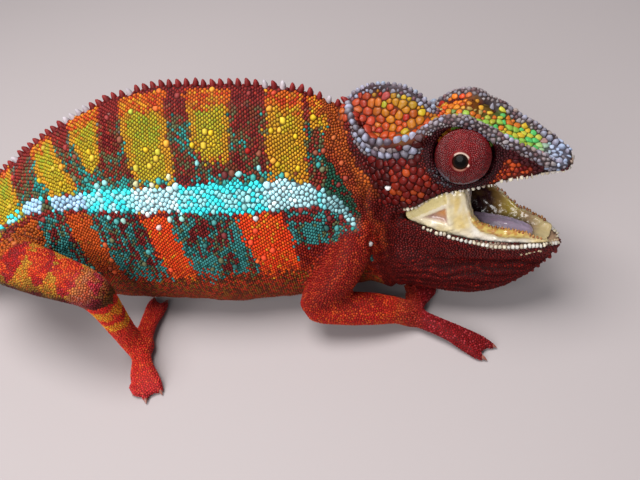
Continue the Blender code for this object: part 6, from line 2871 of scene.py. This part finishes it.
    def _teeth(self, points: Array) -> None:
        """Tiny teeth along the rims of the lower jaw.

        Args:
            points: places in mm.
        """
        head = SKULL.inward(points)
        spots = []
        for side in (-1, 1):
            for ahead in np.arange(14.4, 27.5, 0.72):
                near = (np.abs(head[:, 0] - ahead) < 0.4) & (head[:, 1] * side > 3.0 + 3.0 * (ahead < 24))
                if near.any():
                    best = np.flatnonzero(near)[head[near, 2].argmax()]
                    spots.append(points[best])
        place = np.array(spots)
        up = np.tile(SKULL.way((0.0, 0.0, 1.0)), (len(place), 1))
        draw = np.random.default_rng(77)
        colour = pick(draw.random(len(place)), 0.6, (0.4, 0.16, 0.03), (0.52, 0.28, 0.08))
        sizes = draw.uniform(0.55, 0.75, len(place))
        item = granule_mesh("jaw_teeth", place, up, SKULL.way((1.0, 0, 0)), sizes, colour, tall=1.1)
        item.data.materials.append(ScaleFinish("tooth", roughness=0.2, coat=0.3, specular=0.4).build())
        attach(item, "root")

    def _tongue(self) -> None:
        """Lavender tongue with a pad and a furrow."""
        item = self._wrapped("tongue", "tongue_wet", 0.0, 6)
        points, normals = coords(item.data), vertex_normals(item.data)
        head = SKULL.inward(points)
        low = SKULL.way((0.6, 0.0, -1.5))
        furrow = -0.28 * np.exp(-((head[:, 1] / 0.5) ** 2)) * (normals @ SKULL.way((0, 0, 1.0)) > 0.3)
        grain = 0.07 * ripple(points, 1.0, 81)
        place_vertices(item.data, points + low + normals * (furrow + grain)[:, None])
        item.data.materials.append(
            WetFinish("tongue_wet", stain=(0.5, 0.3, 0.42), pigment=(0.46, 0.36, 0.5), coat=1.0).build()
        )
        item.data.transform(Matrix.Scale(MM, 4))
        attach(item, "root")
        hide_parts("tongue")


# Claws


@dataclass(frozen=True)
class HornFinish:
    """Claw horn, dark and amber mixed in fine streaks."""

    root: Colour = (0.14, 0.02, 0.016)
    tip: Colour = (0.34, 0.14, 0.1)

    def build(self) -> bpy.types.Material:
        """Make the material."""
        material, tree, shader = new_material("claw_horn")
        where = add_node(tree, "TexCoord", {})["Object"]
        streak = add_node(tree, "TexNoise", {"Scale": 1400.0, "Detail": 2.0, "Vector": where})["Fac"]
        mixed = {"A": (*self.root, 1), "B": (*self.tip, 1), "Factor": streak}
        ramp = add_node(tree, "Mix", mixed, data_type="RGBA")["Result"]
        feed(tree, shader, {"Base Color": ramp, "Roughness": 0.28})
        return material


def dress_claws(frame: dict) -> None:
    """Give every claw its horn.
    """
    horn = HornFinish().build()
    for name, item in frame["nodes"].items():
        if "claw" in name:
            item.data.materials.clear()
            item.data.materials.append(horn)


# Studio


@dataclass
class Studio:
    """Camera, floor and lights."""

    lens: float = 33.19
    eye_place: tuple[float, float, float] = (0.12725, -0.15872, 0.12988)
    right: tuple[float, float, float] = (0.99293, 0.02169, -0.11671)
    up: tuple[float, float, float] = (0.06638, 0.71359, 0.69741)
    back: tuple[float, float, float] = (0.09841, -0.70023, 0.70711)

    def build(self) -> None:
        """Set up the view."""
        self._camera()
        self._floor()
        self._lights()

    def _camera(self) -> None:
        """Camera over the animal's right shoulder."""
        data = bpy.data.cameras.new("view")
        data.lens = self.lens
        data.sensor_width = 36.0
        data.clip_start = 0.005
        item = linked("view", data)
        turn = Matrix((self.right, self.up, self.back)).transposed().to_4x4()
        item.matrix_world = Matrix.Translation(self.eye_place) @ turn
        bpy.context.scene.camera = item

    def _floor(self) -> None:
        """Plain pale floor."""
        bare()
        bpy.ops.mesh.primitive_plane_add(size=6.0, location=(0, 0, 0))
        floor = bpy.context.active_object
        floor.name = "floor"
        material, tree, shader = new_material("floor")
        feed(tree, shader, {"Base Color": (0.36, 0.325, 0.33, 1), "Roughness": 0.75})
        floor.data.materials.append(material)

    def _lights(self) -> None:
        """Large soft light from above, a weaker one from the front."""
        world = bpy.data.worlds.new("studio")
        bpy.context.scene.world = world
        world.use_nodes = True
        sky = world.node_tree.nodes["Background"]
        sky.inputs["Color"].default_value = (0.93, 0.95, 1.0, 1)
        sky.inputs["Strength"].default_value = 0.24
        rows = (
            ("key", (-0.02, -0.04, 0.56), (0.05, -0.05, 0.03), 0.36, 4.3, (1.0, 0.97, 0.95)),
            ("fill", (-0.1, -0.5, 0.34), (0.05, -0.05, 0.03), 0.4, 2.6, (1.0, 0.98, 0.97)),
        )
        for name, place, aim, size, power, tint in rows:
            data = bpy.data.lights.new(name, "AREA")
            data.shape = "DISK"
            data.size = size
            data.energy = power
            data.color = tint
            item = linked(name, data)
            item.location = place
            item.rotation_euler = (Vector(aim) - Vector(place)).to_track_quat("-Z", "Y").to_euler()


def main() -> None:
    """Build the dressed model over the frame."""
    logging.basicConfig(level=logging.INFO, format="%(message)s")
    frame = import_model()
    bpy.context.scene.view_settings.view_transform = "Standard"
    Studio().build()
    skin = Skin(frame)
    skin.build()
    markings = Markings(skin)
    lining = shell_tree(frame, ["mouth_lining", "tongue"])
    turrets = shell_tree(frame, ["eye_turret_right", "eye_turret_left"])
    Coat(skin, markings, [(lining, 0.75), (turrets, 0.55)]).build()
    skin.finish(markings)
    for side in (-1, 1):
        Eye(side, frame).build()
    Mouth(frame).build()
    dress_claws(frame)


if __name__ == "__main__":
    main()
